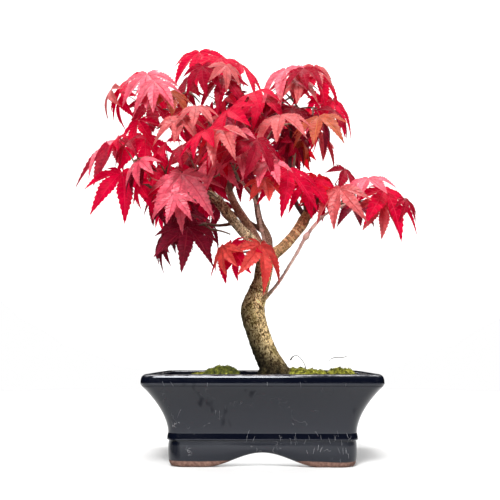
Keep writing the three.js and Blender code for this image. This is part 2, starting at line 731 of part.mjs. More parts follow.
function passesThrough(tips, base, otherTips, otherBase) {
  return tips.some((tip) => otherTips.slice(1).some((corner, index) => (
    pierces(base, tip, [otherBase, otherTips[index], corner]))));
}

function keepLeaves(grown, limbs) {
  const limbPoints = [...limbs.values()].flatMap((limb) => (
    Array.from({ length: 3 * limb.steps + 1 }, (unused, step) => {
      const share = step / (3 * limb.steps);
      return { point: limb.curve.getPointAt(share), radius: radiusAt(limb.radii, share) };
    })));
  const placed = [];
  const fits = (leaf, mass) => {
    const marks = leafMarks(leaf);
    const tips = lobeTips(leaf);
    const near = placed.filter((other) => other.leaf.base.distanceTo(leaf.base) < LEAF_NEIGHBOURHOOD);
    return clearOfLimbs(marks, limbPoints)
      && (leaf.rank === 0 || marks.every((mark) => insideSpace(mark, mass) && !insideSpace(mark, CLEARING)))
      && near.every((other) => other.centre.distanceTo(marks[1]) > LEAF_SPACING
        && !passesThrough(tips, leaf.base, other.tips, other.leaf.base)
        && !passesThrough(other.tips, other.leaf.base, tips, leaf.base));
  };
  [0, 1, 2].forEach((rank) => {
    grown.forEach(({ mass, leaves }) => {
      leaves.filter((leaf) => leaf.rank === rank).forEach(({ poses }) => {
        const leaf = poses.find((pose) => fits(pose, mass)) ?? (rank === 0 ? poses[0] : undefined);
        if (leaf) {
          placed.push({ leaf, mass, tips: lobeTips(leaf), centre: leafMarks(leaf)[1] });
        }
      });
    });
  });
  return placed;
}

// Solids of a mass

function bladeSolid(leaf, spare) {
  const grown = { ...leaf, size: leaf.size * (1 + SPARE_GROWTH * spare) };
  const outline = [];
  const half = [];
  LOBES.forEach((lobe, index) => {
    const swing = THREE.MathUtils.radToDeg(Math.atan2(LOBE_HALF_WIDTH, LOBE_WAIST));
    const waist = lobe.reach * Math.hypot(LOBE_WAIST, LOBE_HALF_WIDTH);
    if (lobe.turn > 0 && lobe.broad) {
      half.push({ turn: lobe.turn - swing, reach: waist });
    }
    half.push(lobe);
    if (lobe.broad) {
      half.push({ turn: lobe.turn + swing, reach: waist });
    }
    if (index < NOTCHES.length) {
      half.push(NOTCHES[index]);
    }
  });
  half.push(BLADE_BUTT);
  half.forEach((mark) => outline.push(bladePoint(grown, mark.reach, mark.turn, 0)));
  half.slice(1, -1).reverse().forEach((mark) => outline.push(bladePoint(grown, mark.reach, -mark.turn, 0)));
  const thickness = LEAF_HALF_THICKNESS + spare * GAP;
  const centres = [bladePoint(grown, 0, 0, thickness), bladePoint(grown, 0, 0, -thickness)];
  const points = [...outline, ...centres].map((point) => point.toArray());
  const faces = outline.flatMap((unused, index) => {
    const next = (index + 1) % outline.length;
    return [[index, outline.length, next], [next, outline.length + 1, index]];
  });
  return toSolid(meshFrom(points, faces));
}

// A leaf stalk from its node, under the blade's base and up into the middle lobe
function petioleSolid(leaf, spare) {
  const bend = bladePoint(leaf, -PETIOLE.sink / 2, 0, -PETIOLE.dip);
  const end = leaf.base.clone().lerp(bladePoint(leaf, 1, 0, 0), PETIOLE.sink);
  return bentTube([leaf.node, bend, end], PETIOLE.radii.map((radius) => radius + spare * GAP));
}

// A three-sided rod through three points, with a joint at the middle one
function bentTube(points, radii) {
  const [from, bend, to] = points;
  const first = bend.clone().sub(from).normalize();
  const second = to.clone().sub(bend).normalize();
  const side = new THREE.Vector3().crossVectors(first, UP).normalize();
  const stations = [[from, first], [bend, first.clone().add(second).normalize()], [to, second]];
  const rings = stations.map(([point, along], station) => {
    const radius = radii[station];
    const normal = new THREE.Vector3().crossVectors(side, along).normalize();
    const across = new THREE.Vector3().crossVectors(along, normal).normalize();
    return [0, 120, 240].map((degrees) => point.clone()
      .addScaledVector(normal, radius * Math.cos(radians(degrees)))
      .addScaledVector(across, radius * Math.sin(radians(degrees)))
      .toArray());
  });
  return toSolid(loft(rings));
}

function twigSolid(twig, spare) {
  const steps = Math.max(2, Math.round(twig.curve.getLength() / TWIG_STEP));
  return tube(twig.curve, twig.radii, 3, steps, spare * GAP);
}

function touches(solid, others) {
  return others.some((other) => !solid.intersect(other).isEmpty());
}

// Stem and twigs of every mass first, then the leading leaves of all, then the rest
function makeMasses(limbs) {
  const grown = MASSES.map((mass) => growMass(mass, limbs));
  const placed = keepLeaves(grown, limbs);
  const limbClearance = union([...limbs.values()].map((limb) => limb.clearance));
  const masses = [];
  grown.forEach(({ mass, twigs }) => {
    const others = masses.map((other) => other.solid);
    const kept = twigs.filter((twig, index) => index === 0 || !touches(twigSolid(twig, 1), others));
    const branches = union(kept.map((twig) => twigSolid(twig, 0))).subtract(limbClearance);
    const leaves = placed.filter((entry) => entry.mass === mass).map((entry) => entry.leaf);
    masses.push({ name: mass.name, leaves, solid: largestBody(branches) });
  });
  [0, 1, 2].forEach((rank) => {
    masses.forEach((mass) => {
      const others = masses.filter((other) => other !== mass).map((other) => other.solid);
      const parts = [mass.solid];
      mass.leaves.filter((leaf) => leaf.rank === rank).forEach((leaf) => {
        const spare = union([bladeSolid(leaf, 1), petioleSolid(leaf, 1)]);
        const blade = bladeSolid(leaf, 0);
        const crowded = rank > 0 && touches(blade, parts);
        if (!crowded && !touches(spare, [limbClearance, ...others])) {
          parts.push(blade, petioleSolid(leaf, 0));
        }
      });
      mass.solid = largestBody(union(parts));
    });
  });
  return masses;
}

// Assembly

addPiece("pot", makePot(), COLOURS.glaze);
addPiece("soil", makeSoil(), COLOURS.soil);

const limbs = makeLimbs();
const trunkFoot = limbs.get("trunk").clearance;
MOSS.forEach((moss) => {
  const cushion = toSolid(makeMoss(moss)).subtract(trunkFoot);
  addPiece(moss.name, toGeometry(largestBody(cushion)), COLOURS.moss);
});
limbs.forEach((limb, name) => addPiece(name, toGeometry(limb.solid), COLOURS.bark));
makeMasses(limbs).forEach(({ name, solid }) => addPiece(name, toGeometry(solid), COLOURS.leaf));

// The middle of the whole plant's box, on the ground, becomes the origin
const box = new THREE.Box3().setFromObject(plant);
plant.position.set(-(box.min.x + box.max.x) / 2, -(box.min.y + box.max.y) / 2, 0);

const group = new THREE.Group();
group.add(plant);

export default group;
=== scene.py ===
"""A maple bonsai in red autumn leaf, in a dark glazed pot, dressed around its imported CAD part."""
import math

import bpy
import numpy as np
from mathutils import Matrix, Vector, kdtree, noise


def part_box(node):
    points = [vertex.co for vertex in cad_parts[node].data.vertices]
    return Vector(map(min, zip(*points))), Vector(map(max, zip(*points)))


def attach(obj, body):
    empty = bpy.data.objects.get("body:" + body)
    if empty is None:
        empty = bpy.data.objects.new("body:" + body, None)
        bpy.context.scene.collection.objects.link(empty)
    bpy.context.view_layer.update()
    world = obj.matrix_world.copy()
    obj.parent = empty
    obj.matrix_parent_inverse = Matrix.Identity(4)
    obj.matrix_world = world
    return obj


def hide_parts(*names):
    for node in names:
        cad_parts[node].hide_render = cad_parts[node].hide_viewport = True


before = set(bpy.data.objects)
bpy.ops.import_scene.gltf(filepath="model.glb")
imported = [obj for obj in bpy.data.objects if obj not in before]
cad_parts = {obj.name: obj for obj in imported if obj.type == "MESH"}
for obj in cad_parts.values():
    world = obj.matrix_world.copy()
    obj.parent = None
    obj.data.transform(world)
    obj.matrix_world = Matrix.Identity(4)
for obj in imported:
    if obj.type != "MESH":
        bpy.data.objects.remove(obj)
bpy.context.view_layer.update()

MM = 0.001
UP = np.array([0.0, 0.0, 1.0])
POT_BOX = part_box("pot")
POT_CENTRE = np.array([(POT_BOX[0][0] + POT_BOX[1][0]) / 2, (POT_BOX[0][1] + POT_BOX[1][1]) / 2, 0.0])


def table(keys, rows):
    """Rows of values as dictionaries with the same keys; a short row lacks the last ones."""
    return [dict(zip(keys.split(), row)) for row in rows]


# Sizes below are in millimetres, measured from the pot's centre on the ground

# Pot: its profiles are pairs of how far a ring stands out and its height
RIM_HALF = 100
RIM_HALF_DEPTH = 75
FOOT_HALF = 78.3
FOOT_HALF_DEPTH = 58.5
FLARE_FOOT_Z = 27
FLARE_TOP_Z = 65.6
FLARE_POWER = 1.7
FLARE_RINGS = 22
FLARE_SET_OUT = 0.5
FLARE_SET_IN = 1.2
FOOT_PROFILE = [(-3.4, 0), (-2.4, 0.5), (-1.5, 1.6), (-0.8, 3.6), (-0.3, 6.5), (0.1, 10), (0.25, 14),
                (0.1, 18), (-0.2, 20.4), (-0.1, 21)]
BAND_PROFILE = [(0.6, 21.3), (1.2, 21.6), (1.35, 22.1), (1.15, 23.5), (0.9, 25), (0.65, 26.3), (0.5, 26.8)]
RIM_PROFILE = [(-1.6, 65.6), (-0.6, 65.9), (-0.15, 66.5), (0, 67.4), (0, 69.6), (-0.25, 71.4), (-0.8, 72.9),
               (-1.7, 74.0), (-2.9, 74.7), (-4.3, 75)]
MOUTH_PROFILE = [(0, 75), (0.5, 74.6), (1, 73.5), (1.2, 70), (1.2, 66)]
WALL = 7.5
SKIRT_FOOT = 7
SKIRT_RECESS = 10.5
RECESS_Z = 12
CORNER_RADIUS = 11
LEAST_RADIUS = 3
CORNER_STEPS = 10
SIDE_STEPS = 44
ARCH_FRONT = (48, 11.5)
ARCH_SIDE = (30, 8)
ARCH_FADE_Z = 15

# Hair scratches on the pot's front: how many, the middle and half-range of their places across,
# the lowest and highest foot, the least length and what chance adds to it
SCRATCHES = [(15, (44, 34), (17, 25), (3, 5)), (9, (55, 20), (7, 14), (2.5, 3)),
             (6, (0, 95), (64.5, 66), (2, 4)), (3, (-50, 30), (26, 50), (3, 6)),
             (3, (-10, 16), (19, 25), (3, 4))]
SCRATCH_SEED = 610
SCRATCH_RADIUS = 0.11
SCRATCH_TIP = 0.03
SCRATCH_STEPS = 12
SCRATCH_LEAN = 0.9
SCRATCH_BEND = 0.16
SCRATCH_SINK = 0.02
SCRATCH_SIDES = 5

# Soil: a rough bed with loose grains on it; a pair is a least value and what chance adds to it
SOIL_SEED = 41
SOIL_TOP_Z = 70
SOIL_INSET = 9
SOIL_CELLS = (90, 66)
SOIL_DIP = 1.6
SOIL_SWELL = 1.3
SOIL_SWELL_SCALE = 0.05
SOIL_ROUGH = 0.5
SOIL_ROUGH_SCALE = 0.6
GRAINS = 2600
GRAIN_KINDS = 6
GRAIN_SIZE = (1.2, 2.0)
GRAIN_WIDTH = (0.8, 0.4)
GRAIN_HEIGHT = (0.8, 0.3)
GRAIN_RINGS = [(-0.5, 0.25), (-0.2, 0.5), (0.2, 0.48), (0.48, 0.2)]
GRAIN_SIDES = 5
GRAIN_TILT = 0.8
GRAIN_LIFT = 0.3
GRAIN_REACH = 0.985

# Moss cushions, and the short pointed shoots on them: how many on a square millimetre, and their sizes
MOSS = table("name x y length width height seed clumps tone", [
    ("moss_left", -34, -28, 34, 28, 12.2, 3, 1.6, "dark"),
    ("moss_right_near", 42, -34, 44, 32, 8.4, 5, 4.2, "light"),
    ("moss_right_far", 71, -10, 28, 46, 8.8, 8, 4.2, "light"),
    ("moss_back_left", -48, 32, 50, 34, 4.0, 12, 1.5, "light"),
    ("moss_back_right", 32, 34, 44, 34, 8, 15, 3.4, "light"),
])
MOSS_SEED = 100
MOSS_RINGS = 18
MOSS_SIDES = 56
CUSHION_WAVES = [(0.09, 3, 1), (0.05, 5, -1)]
CLUMP_SCALES = (0.22, 0.6)
CLUMP_SHARE = 0.6
SHOOTS = 3
SHOOT_HEIGHT = (1.0, 1.6)
SHOOT_WIDTH = (0.26, 0.2)
SHOOT_REACH = 1.04
SHOOT_SINK = 0.9
MOUND_SINK = 0.6
CUSHION_RISE = 0.9
SHOOT_CORNER = 2.1
SHOOT_UPRIGHT = 0.9
SHOOT_OUTWARD = 0.5
MOSS_TONES = {
    "dark": [(0.3, (0.010, 0.012, 0.002)), (0.45, (0.05, 0.062, 0.006)), (0.6, (0.15, 0.165, 0.012)),
             (0.72, (0.40, 0.40, 0.06))],
    "light": [(0.34, (0.02, 0.020, 0.004)), (0.45, (0.12, 0.12, 0.01)), (0.57, (0.36, 0.37, 0.03)),
              (0.7, (0.62, 0.58, 0.16))],
}

# Dry stalks that stand in the moss on the right: their turns and the radius at each
STALKS = [
    ([(37, -38, 72), (37.5, -38, 80), (34, -39, 87), (30, -40, 90), (26.5, -40, 89), (24.5, -40, 86)],
     [0.4, 0.38, 0.38, 0.36, 0.36, 0.8]),
    ([(63, -24, 74), (59, -25, 81), (60, -26, 86.5), (66, -28, 88.5), (72, -29, 88.6), (75, -30, 90)],
     [0.12, 0.12, 0.2, 0.4, 0.45, 0.25]),
]
DRY_STEPS = 24

# Trunk and boughs: the radius at each of a limb's turns, and the turns
LIMBS = table("name steps radii route", [
    ("trunk", 16, [14.5, 12.6, 11, 10.8, 10.8, 11.6, 9.2, 8.2, 8.6, 7.5],
     [(14, 2, 60), (11, 2, 76), (3.4, 3, 92), (-4, 4, 112), (-8.6, 4, 131), (-6, 4, 143), (0, 2, 160),
      (3, 0, 176), (5, 0, 186), (6, 0, 191)]),
    ("bough_left", 9, [6.5, 5.4, 4.7, 4.3, 5.0, 3.4],
     [(2, -1, 181), (-9, -8, 196), (-22, -15, 209), (-36, -23, 226), (-44, -27, 234), (-50, -29, 237)]),
    ("bough_right", 9, [6.5, 5.3, 5.0, 4.9, 5.9, 3.6],
     [(7, 1, 182), (20, 4, 192), (29, 6, 202), (38, 8, 214), (43, 8, 223), (47, 7, 229)]),
    ("bough_back_left", 12, [5.6, 4.6, 4.0, 3.4, 3.0, 2.6],
     [(2, 3, 184), (-10, 12, 210), (-27, 18, 239), (-36, 20, 262), (-52, 19, 297), (-66, 16, 323)]),
    ("bough_back", 10, [5.2, 4.2, 3.4, 2.8, 2.2],
     [(5, 4, 183), (6, 20, 203), (-2, 40, 226), (-6, 56, 252), (-12, 66, 282)]),
    ("bough_front", 8, [2.6, 2.0, 1.9, 1.7, 1.5],
     [(5, -5, 186), (0, -17, 205), (-5, -26, 228), (-13, -34, 241), (-21, -40, 247)]),
    ("bough_low_right", 11, [2.6, 2.1, 2.0, 2.3, 1.8, 1.5],
     [(-3, 0, 137), (14, -8, 155), (31, -13, 181), (42, -16, 200), (58, -20, 218), (78, -24, 228)]),
    ("bough_upper_right", 9, [2.8, 2.2, 1.9, 1.7, 1.3],
     [(43, 9, 222), (34, 14, 238), (29, 16, 262), (29, 13, 298), (31, 8, 331)]),
    ("bough_right_inner", 5, [2.6, 1.9, 1.5],
     [(45, 7, 226), (40, -4, 240), (32, -20, 250)]),
    ("bough_right_outer", 5, [2.6, 1.9, 1.5],
     [(46, 7, 227), (53, 5, 236), (57, -2, 247)]),
    ("bough_left_outer", 7, [2.4, 1.7, 1.5, 1.2],
     [(-46, -28, 235), (-62, -31, 231), (-80, -34, 231), (-98, -35, 239)]),
    ("bough_left_lower", 5, [2.0, 1.5, 1.2],
     [(-24, -16, 212), (-40, -14, 210), (-52, -12, 212)]),
    ("bough_top", 8, [2.8, 2.1, 1.7, 1.3],
     [(-31, 19, 248), (-34, 10, 280), (-38, 0, 312), (-40, -6, 336)]),
    ("bough_centre", 7, [1.8, 1.5, 1.3, 1.1],
     [(-3, -21, 215), (-4, -14, 240), (0, -12, 262), (6, -10, 284)]),
    ("bough_back_right", 7, [2.8, 2.2, 1.9, 1.4],
     [(41, 8, 219), (44, 26, 236), (40, 44, 258), (34, 58, 284)]),
    ("bough_back_low", 7, [2.6, 2.1, 1.8, 1.4],
     [(3, 28, 211), (-14, 44, 226), (-38, 56, 242), (-60, 64, 256)]),
])

# Rings for each of a limb's steps, its sides, and the finer steps by which the skin finds its limb
LIMB_RINGS = 3
LIMB_SIDES = 24
OWNER_STEPS = 6
NEAR_OWNERS = 8

# Root flare: buttresses round the trunk's foot, each through three places out from its axis
FLARE_TURNS = [10, 80, 150, 215, 300]
FLARE_LIFTS = [8, -2, -9]
FLARE_SPREADS = [[5, 12, 19], [5, 12, 16]]
FLARE_RADII = [4, 4.6, 3.4]
FLARE_STEPS = 8
FLARE_SIDES = 14

# Each limb's bark: its tone, and how far it is broken by cracks
LIMB_TONES = {
    "trunk": (0.98, 0.78, 0.42, 1.0),
    # The tones of bough_right and bough_low_right are partly their bark's colour and partly painted light,
    # raised where the leaves shade them
    "bough_right": (0.80, 0.54, 0.28, 0.6),
    "bough_left": (0.78, 0.68, 0.45, 0.9),
    "bough_back_left": (0.50, 0.30, 0.22, 0.6),
    "bough_front": (0.62, 0.42, 0.34, 0.4),
    "bough_low_right": (1.0, 0.68, 0.60, 0.25),
    "bough_back": (0.42, 0.27, 0.20, 0.6),
    "bough_upper_right": (0.13, 0.055, 0.06, 0.2),
}
THIN_TONE = (0.20, 0.11, 0.085, 0.3)
SLIMMED = {"bough_low_right": 0.55, "bough_front": 0.4}

# Where the trunk's bark runs up a shoot: the shares of its length between which its own bark takes over
TAKES_OVER = {"bough_low_right": (0.05, 0.16)}

# Ring scars: limb, share of its length, half-width, lift in mm, how much paler
SCARS = [
    ("bough_right", 0.36, 0.016, 0.9, 2.4), ("bough_right", 0.45, 0.014, 0.7, 2.2),
    ("bough_right", 0.58, 0.018, 1.0, 2.6), ("bough_right", 0.70, 0.014, 0.8, 2.2),
    ("bough_low_right", 0.62, 0.03, 2.6, 1.5), ("bough_low_right", 0.72, 0.05, 0.6, 1.8),
    ("trunk", 0.70, 0.007, 0.6, 0.4), ("trunk", 0.62, 0.007, 0.5, 1.6), ("bough_left", 0.35, 0.012, 0.5, 1.4),
    ("bough_front", 0.3, 0.02, 1.2, 1.4), ("bough_front", 0.62, 0.03, 1.6, 0.8),
]

# Rough knuckles where old shoots were pruned: limb, where they start, and how rough
KNUCKLES = [("bough_right", 0.80, 1.5), ("bough_left", 0.78, 1.5)]
KNUCKLE_RUN = 0.05
KNUCKLE_SHADE = 0.75

# By height: how strong the relief is, and the painted shade on the bark's left side and painted light on its
# right
RELIEF_BY_HEIGHT = ([70, 150, 200, 240, 330], [1.0, 0.75, 0.5, 0.28, 0.18])
PAINTED_SHADE_SIDE = ([72, 84, 96, 110, 135, 170, 196], [0.008, 0.014, 0.04, 0.13, 0.25, 0.4, 1.0])
PAINTED_LIGHT_SIDE = ([72, 80, 90, 104, 118, 150, 175, 200], [0.08, 0.14, 0.4, 0.85, 1.0, 1.3, 1.6, 1.15])
LIT_SHARE_BY_NORMAL = ([-0.85, -0.25, 0.3, 0.7], [0.0, 0.5, 0.9, 1.0])

# Relief of the bark in mm: how fine it is along each axis, and how deep
PLATES = {"scale": (0.16, 0.16, 0.10), "coarse": 2.2, "fine": 5.0, "share": 0.5, "depth": 0.45}
CRACKS = {"scale": (0.42, 0.42, 0.2), "power": 0.6, "middle": 0.45, "depth": 0.7}
FIBRES = {"scale": (1.3, 1.3, 0.7), "depth": 0.16}
WOOD_VOXEL = 0.6
WOOD_EASE = (0.5, 4)

# Leaves as they grow; a pair is a least value and what chance adds to it
CROWN_AXIS = (-14, 6)
FRONT = np.array([0.0, -1.0, 0.0])
LIGHT_PULL = 0.45
LIGHT_DEPTH = 40
LEAF_SWING = 50
AIM_SWING = 14
LEAF_LENGTH = 40
LEAF_ARCH = 0.3
LEAF_SIDE_ARCH = 0.35
LEAD_SIZE = (0.95, 0.2)
MINOR_SIZE = (0.66, 0.3)
LOBES = [(0, 1), (40, 0.95), (80, 0.74)]
PETIOLE_LENGTH = (15, 9)
PETIOLE_RISE = 0.35
PETIOLE_ANGLE = (52, 20)
LEAD_SWING = 40
PARTNER_SWING = 30
DROOP = (40, 36)
LEAF_SPACING = 10
LEAF_NEIGHBOURHOOD = 2.2 * LEAF_LENGTH
LEAF_POSES = 8
LEAF_MARGIN = 1.02
LEAF_LIMB_CLEARANCE = 1.5

# The open space over the fork, pruned so that the boughs show
CLEARING = {"middle": (-2, -45, 212), "reach": (50, 90, 25)}

# Twigs
INTERNODE = 21
BARE_TWIG = 8
TWIG_RISE = 0.1
TWIG_SWAY = 0.16
HUB_SHARE = 0.45
FORK_SHARES = [0.45, 0.7, 0.9]
SPRIG_REACH = 0.55
STEM_RADII = (1.6, 1.1)
TWIG_RADII = (1.05, 0.65)
TWIG_STEP = 5
LEAST_TWIG_STEPS = 4
TWIG_SIDES = 7
THIN_SIDES = 6

# Masses of foliage: the limb each grows from, the middle and half-lengths of its space, and its leading
# leaves: the place of each blade's base, then how far its middle lobe points round from the front, how far
# it hangs below the level, and its size; then the tints of its sprays, and the fork's own root and hub
# The sprays' tints are partly their own colour and partly painted light: pink and rose as painted sheen on
# upturned leaves, wine and burgundy as painted shade
MASSES = table("name limb seed sprigs middle reach leads tints root hub", [
    ("foliage_left_tip", "bough_left_outer", 86, 4, (-124, -28, 256), (82, 74, 84),
     [(-131, -40, 284, -85, 34, 1.35), (-111, -14, 295, 10, 55, 1.1), (-128, -34, 256, 25, 55, 1.15),
      (-102, -4, 269, -20, 55, 1)],
     "pink crimson crimson crimson rose crimson pink pink"),
    ("foliage_left_front", "bough_left", 116, 2, (-64, -70, 236), (60, 60, 58),
     [(-68, -72, 243, -5, 55, 1.15), (-38, -64, 259, -30, 48, 0.95)],
     "pink pink crimson wine"),
    ("foliage_lower_left", "bough_left_lower", 283, 2, (-66, -18, 206), (58, 67, 60),
     [(-74, -22, 222, -15, 58, 0.85), (-67, -34, 205, 5, 58, 1.05), (-54, 0, 216, 40, 50, 0.8)],
     "burgundy burgundy burgundy burgundy wine"),
    ("foliage_top_left", "bough_back_left", 228, 5, (-104, -14, 330), (72, 89, 70),
     [(-106, -42, 348, -8, 48, 1), (-129, -8, 359, -60, 52, 1.05), (-112, 14, 344, 20, 55, 1),
      (-117, -18, 312, -30, 48, 0.8), (-72, -58, 299, 0, 42, 0.8), (-84, -40, 331, 20, 50, 0.75)],
     "pink crimson wine crimson rose rust crimson wine crimson pink crimson"),
    ("foliage_top", "bough_top", 88, 5, (-38, -28, 350), (67, 79, 60),
     [(-60, -20, 380, -15, 50, 1), (-38, -36, 366, 20, 50, 0.9), (-20, -14, 370, 50, 45, 0.95),
      (-34, -56, 338, -10, 50, 0.85), (-6, -62, 321, -50, 25, 0.95), (-72, 4, 366, -40, 55, 0.9)],
     "crimson crimson crimson wine crimson wine wine burgundy rose pink crimson"),
    ("foliage_upper_right", "bough_upper_right", 41, 6, (46, -20, 324), (70, 74, 67),
     [(23, -34, 355, -20, 42, 1), (52, -14, 361, 40, 52, 1.1), (70, -6, 336, 40, 55, 1.05),
      (52, -44, 304, -15, 42, 0.95), (17, -58, 300, -5, 28, 0.95)],
     "pink crimson crimson rust rose crimson pink rose burgundy scarlet wine"),
    ("foliage_centre", "bough_front", 208, 3, (-30, -82, 256), (62, 55, 72),
     [(-57, -62, 308, -10, 38, 0.7), (-25, -92, 272, -40, 28, 1), (-18, -86, 262, 20, 45, 0.8)],
     "rose pink pink rose wine pink"),
    ("foliage_right_inner", "bough_right_inner", 63, 2, (12, -58, 246), (58, 58, 55),
     [(4, -48, 270, 50, 32, 0.8), (6, -80, 251, -35, 34, 0.8), (23, -62, 249, 5, 50, 1),
      (3, -70, 238, 22, 50, 0.72)],
     "pink pink crimson coral pink crimson"),
    ("foliage_right_outer", "bough_right_outer", 103, 1, (50, -22, 246), (43, 53, 43),
     [(52, -22, 254, 30, 50, 0.9), (44, -34, 246, -20, 50, 0.85)],
     "scarlet crimson crimson"),
    ("foliage_right_tip", "bough_low_right", 122, 3, (98, -22, 234), (65, 65, 60),
     [(80, -6, 266, 40, 48, 0.8), (97, -34, 249, -25, 35, 0.85), (113, -28, 240, 25, 42, 1.15),
      (91, 8, 237, 5, 48, 0.8), (70, -44, 237, -30, 48, 0.95)],
     "wine pink crimson burgundy rose crimson crimson wine"),
    ("foliage_fork", "trunk", 75, 1, (-14, -40, 178), (50, 48, 48),
     [(-1, -46, 186, 25, 52, 0.95), (-27, -38, 189, -40, 52, 1)],
     "coral crimson crimson", (-2, -2, 176), (-12, -22, 184)),
    ("foliage_heart", "bough_centre", 400, 3, (0, -12, 300), (74, 60, 60),
     [(-22, -22, 296), (30, -12, 326, 25, 45, 0.95), (2, -16, 337, -15, 45, 1)],
     "crimson wine crimson pink crimson wine"),
    ("foliage_back_left", "bough_back_low", 208, 3, (-84, 76, 268), (74, 74, 74),
     [(-104, 62, 286), (-84, 98, 262), (-60, 84, 294), (-94, 78, 246)],
     "crimson burgundy wine wine crimson rose burgundy"),
    ("foliage_back_top", "bough_back", 371, 4, (-26, 74, 322), (79, 79, 72),
     [(-52, 58, 352), (-24, 92, 340), (2, 60, 356), (8, 96, 312), (-56, 96, 318)],
     "wine crimson wine rose rose burgundy crimson crimson pink"),
    ("foliage_back_right", "bough_back_right", 144, 3, (42, 66, 332), (62, 70, 50),
     [(56, 50, 344, 60, 45, 1), (32, 92, 330, 150, 50, 1), (62, 72, 332, 110, 48, 1),
      (24, 70, 352, 170, 40, 0.95)],
     "scarlet burgundy rose wine crimson pink crimson"),
])
for mass_row in MASSES:
    mass_row["tints"] = mass_row["tints"].split()

# Finer growth, on top of what the solids carry: smaller leaves on short side shoots
FINE_RANK = 3
FINE_LEAVES = 24
FINE_REACH = 17
FINE_SIZE = (0.5, 0.35)
FINE_SEED = 9000
FINE_PLACE = (0.25, 0.7)
FINE_SHOOT = (8, 10)
FINE_SPREAD = 0.9
FINE_RISE = 0.3
FINE_OUTWARD = 0.6
FINE_BEND = 1.2
FINE_RADII = [0.6, 0.55, 0.5, 0.5, 0.55]

# Painted shade: which of the smaller leaves are given a deeper tint, by how many leaves stand over them
SHADE_REACH = 32
SHADE_RISE = 8
SHADE_SHARES = [0.08, 0.33, 0.53, 0.66]
PAINTED_SHADE_TINTS = ["crimson", "wine", "wine", "burgundy", "crimson"]
SHADE_SEED = 77

# A blade's outline in blade lengths: each lobe's turn, reach and half-width, and the notches between lobes
LEAF_LOBES = [(0, 1.0, 0.168), (40, 0.95, 0.162), (-40, 0.95, 0.162), (80, 0.74, 0.122), (-80, 0.74, 0.122),
              (124, 0.34, 0.06), (-124, 0.34, 0.06)]
NOTCHES = [(20, 0.33), (60, 0.29), (103, 0.17), (160, 0.05)]
LOBE_STATIONS = 18
SEAM_SHARES = (0.0, 0.33, 0.67)
STATION_POWER = 0.92
LOBE_COLUMNS = [(1, 1.0), (1, 0.5), (1, 0.0), (-1, 0.5), (-1, 1.0)]
LOBE_ROOT = 0.33
WAIST = 0.54
TIP_TAPER = 1.05
TIP_SWELL = 0.35
TOOTH = 0.013
TOOTH_SHIFT = (-0.004, 0.012)
TOOTH_FADE = 3
LEAST_WIDTH = 0.003
SEAM_OVERLAP = 0.004

# How a blade is bent; a pair is a least value and what chance adds to it
LOBE_FOLD = (0.5, 0.4)
FOLD_EASE = 0.25
LOBE_CUP = (1.15, 0.55)
LOBE_CURL = 0.26
LOBE_TWIST = 0.5
TIP_JITTER = 7
REACH_JITTER = 0.07

# A leaf's stalk: shares of its length, and the radius at each and at its tip under the blade
STALK_SHARES = [0, 0.08, 0.3, 0.55, 0.8, 1]
STALK_RADII = [0.75, 0.5, 0.42, 0.4, 0.42, 0.5, 0.2]
STALK_BEND = (0.6, 0.06)
STALK_UNDER = (0.35, 0.3)
STALK_GRIP = 0.12

# Each tint: its face, the light that comes through it, the share of that light, its sheen, and its veins
# pink and rose are partly painted sheen, and wine and burgundy partly painted shade
LEAF_TINTS = {
    "pink": ((0.86, 0.13, 0.19), (0.9, 0.006, 0.07), 0.2, 0.55, (0.62, 0.03, 0.07)),
    "rose": ((0.66, 0.13, 0.13), (0.8, 0.02, 0.05), 0.2, 0.45, (0.45, 0.035, 0.04)),
    "crimson": ((0.66, 0.002, 0.040), (0.92, 0.0, 0.05), 0.4, 0.08, (0.84, 0.03, 0.09)),
    "scarlet": ((0.70, 0.008, 0.022), (0.95, 0.006, 0.02), 0.4, 0.08, (0.86, 0.05, 0.06)),
    "coral": ((0.82, 0.085, 0.07), (0.9, 0.03, 0.03), 0.25, 0.3, (0.6, 0.03, 0.03)),
    "rust": ((0.50, 0.10, 0.05), (0.7, 0.06, 0.02), 0.25, 0.3, (0.62, 0.22, 0.07)),
    "wine": ((0.34, 0.002, 0.022), (0.6, 0.001, 0.03), 0.25, 0.12, (0.5, 0.02, 0.05)),
    "burgundy": ((0.23, 0.007, 0.03), (0.36, 0.004, 0.03), 0.15, 0.15, (0.4, 0.03, 0.05)),
}
LEAF_MOTTLE = (0.5, 0.5, 0.5)
LEAF_FLUSH = (0.72, 0.25, 0.42)
VEIN_SLANT = 0.11
VEIN_ROWS = 56.0
VEIN_STRENGTH = 0.7

# Camera and lamps; the lamps' places, targets and sizes are in metres
CAMERA_PLACE = (0, -600, 90.4)
CAMERA_LENS = 46.05
CAMERA_SENSOR = 36
CAMERA_PITCH = 9.33
CAMERA_YAW = 1.06
WORLD_LIGHT = 0.1
LAMPS = [
    ("key", (-0.12, -0.95, 1.08), (0, 0, 0.2), (0.45, 0.45), 21.5),
    ("overhead", (0.1, 0.0, 1.3), (0, 0, 0.2), (0.8, 0.8), 4),
    ("right_side", (0.95, -0.8, 0.5), (0, 0, 0.18), (0.4, 0.4), 6),
    ("front_fill", (-0.4, -1.15, 0.42), (0, 0, 0.25), (0.4, 0.4), 5.5),
    ("under_pot", POT_CENTRE + 11.5 * MM * UP, POT_CENTRE, (0.125, 0.085), 0.05),
    ("backdrop_wash", (0, 0.5, 1.8), (0, 1.9, 0.5), (3.6, 0.9), 90),
]

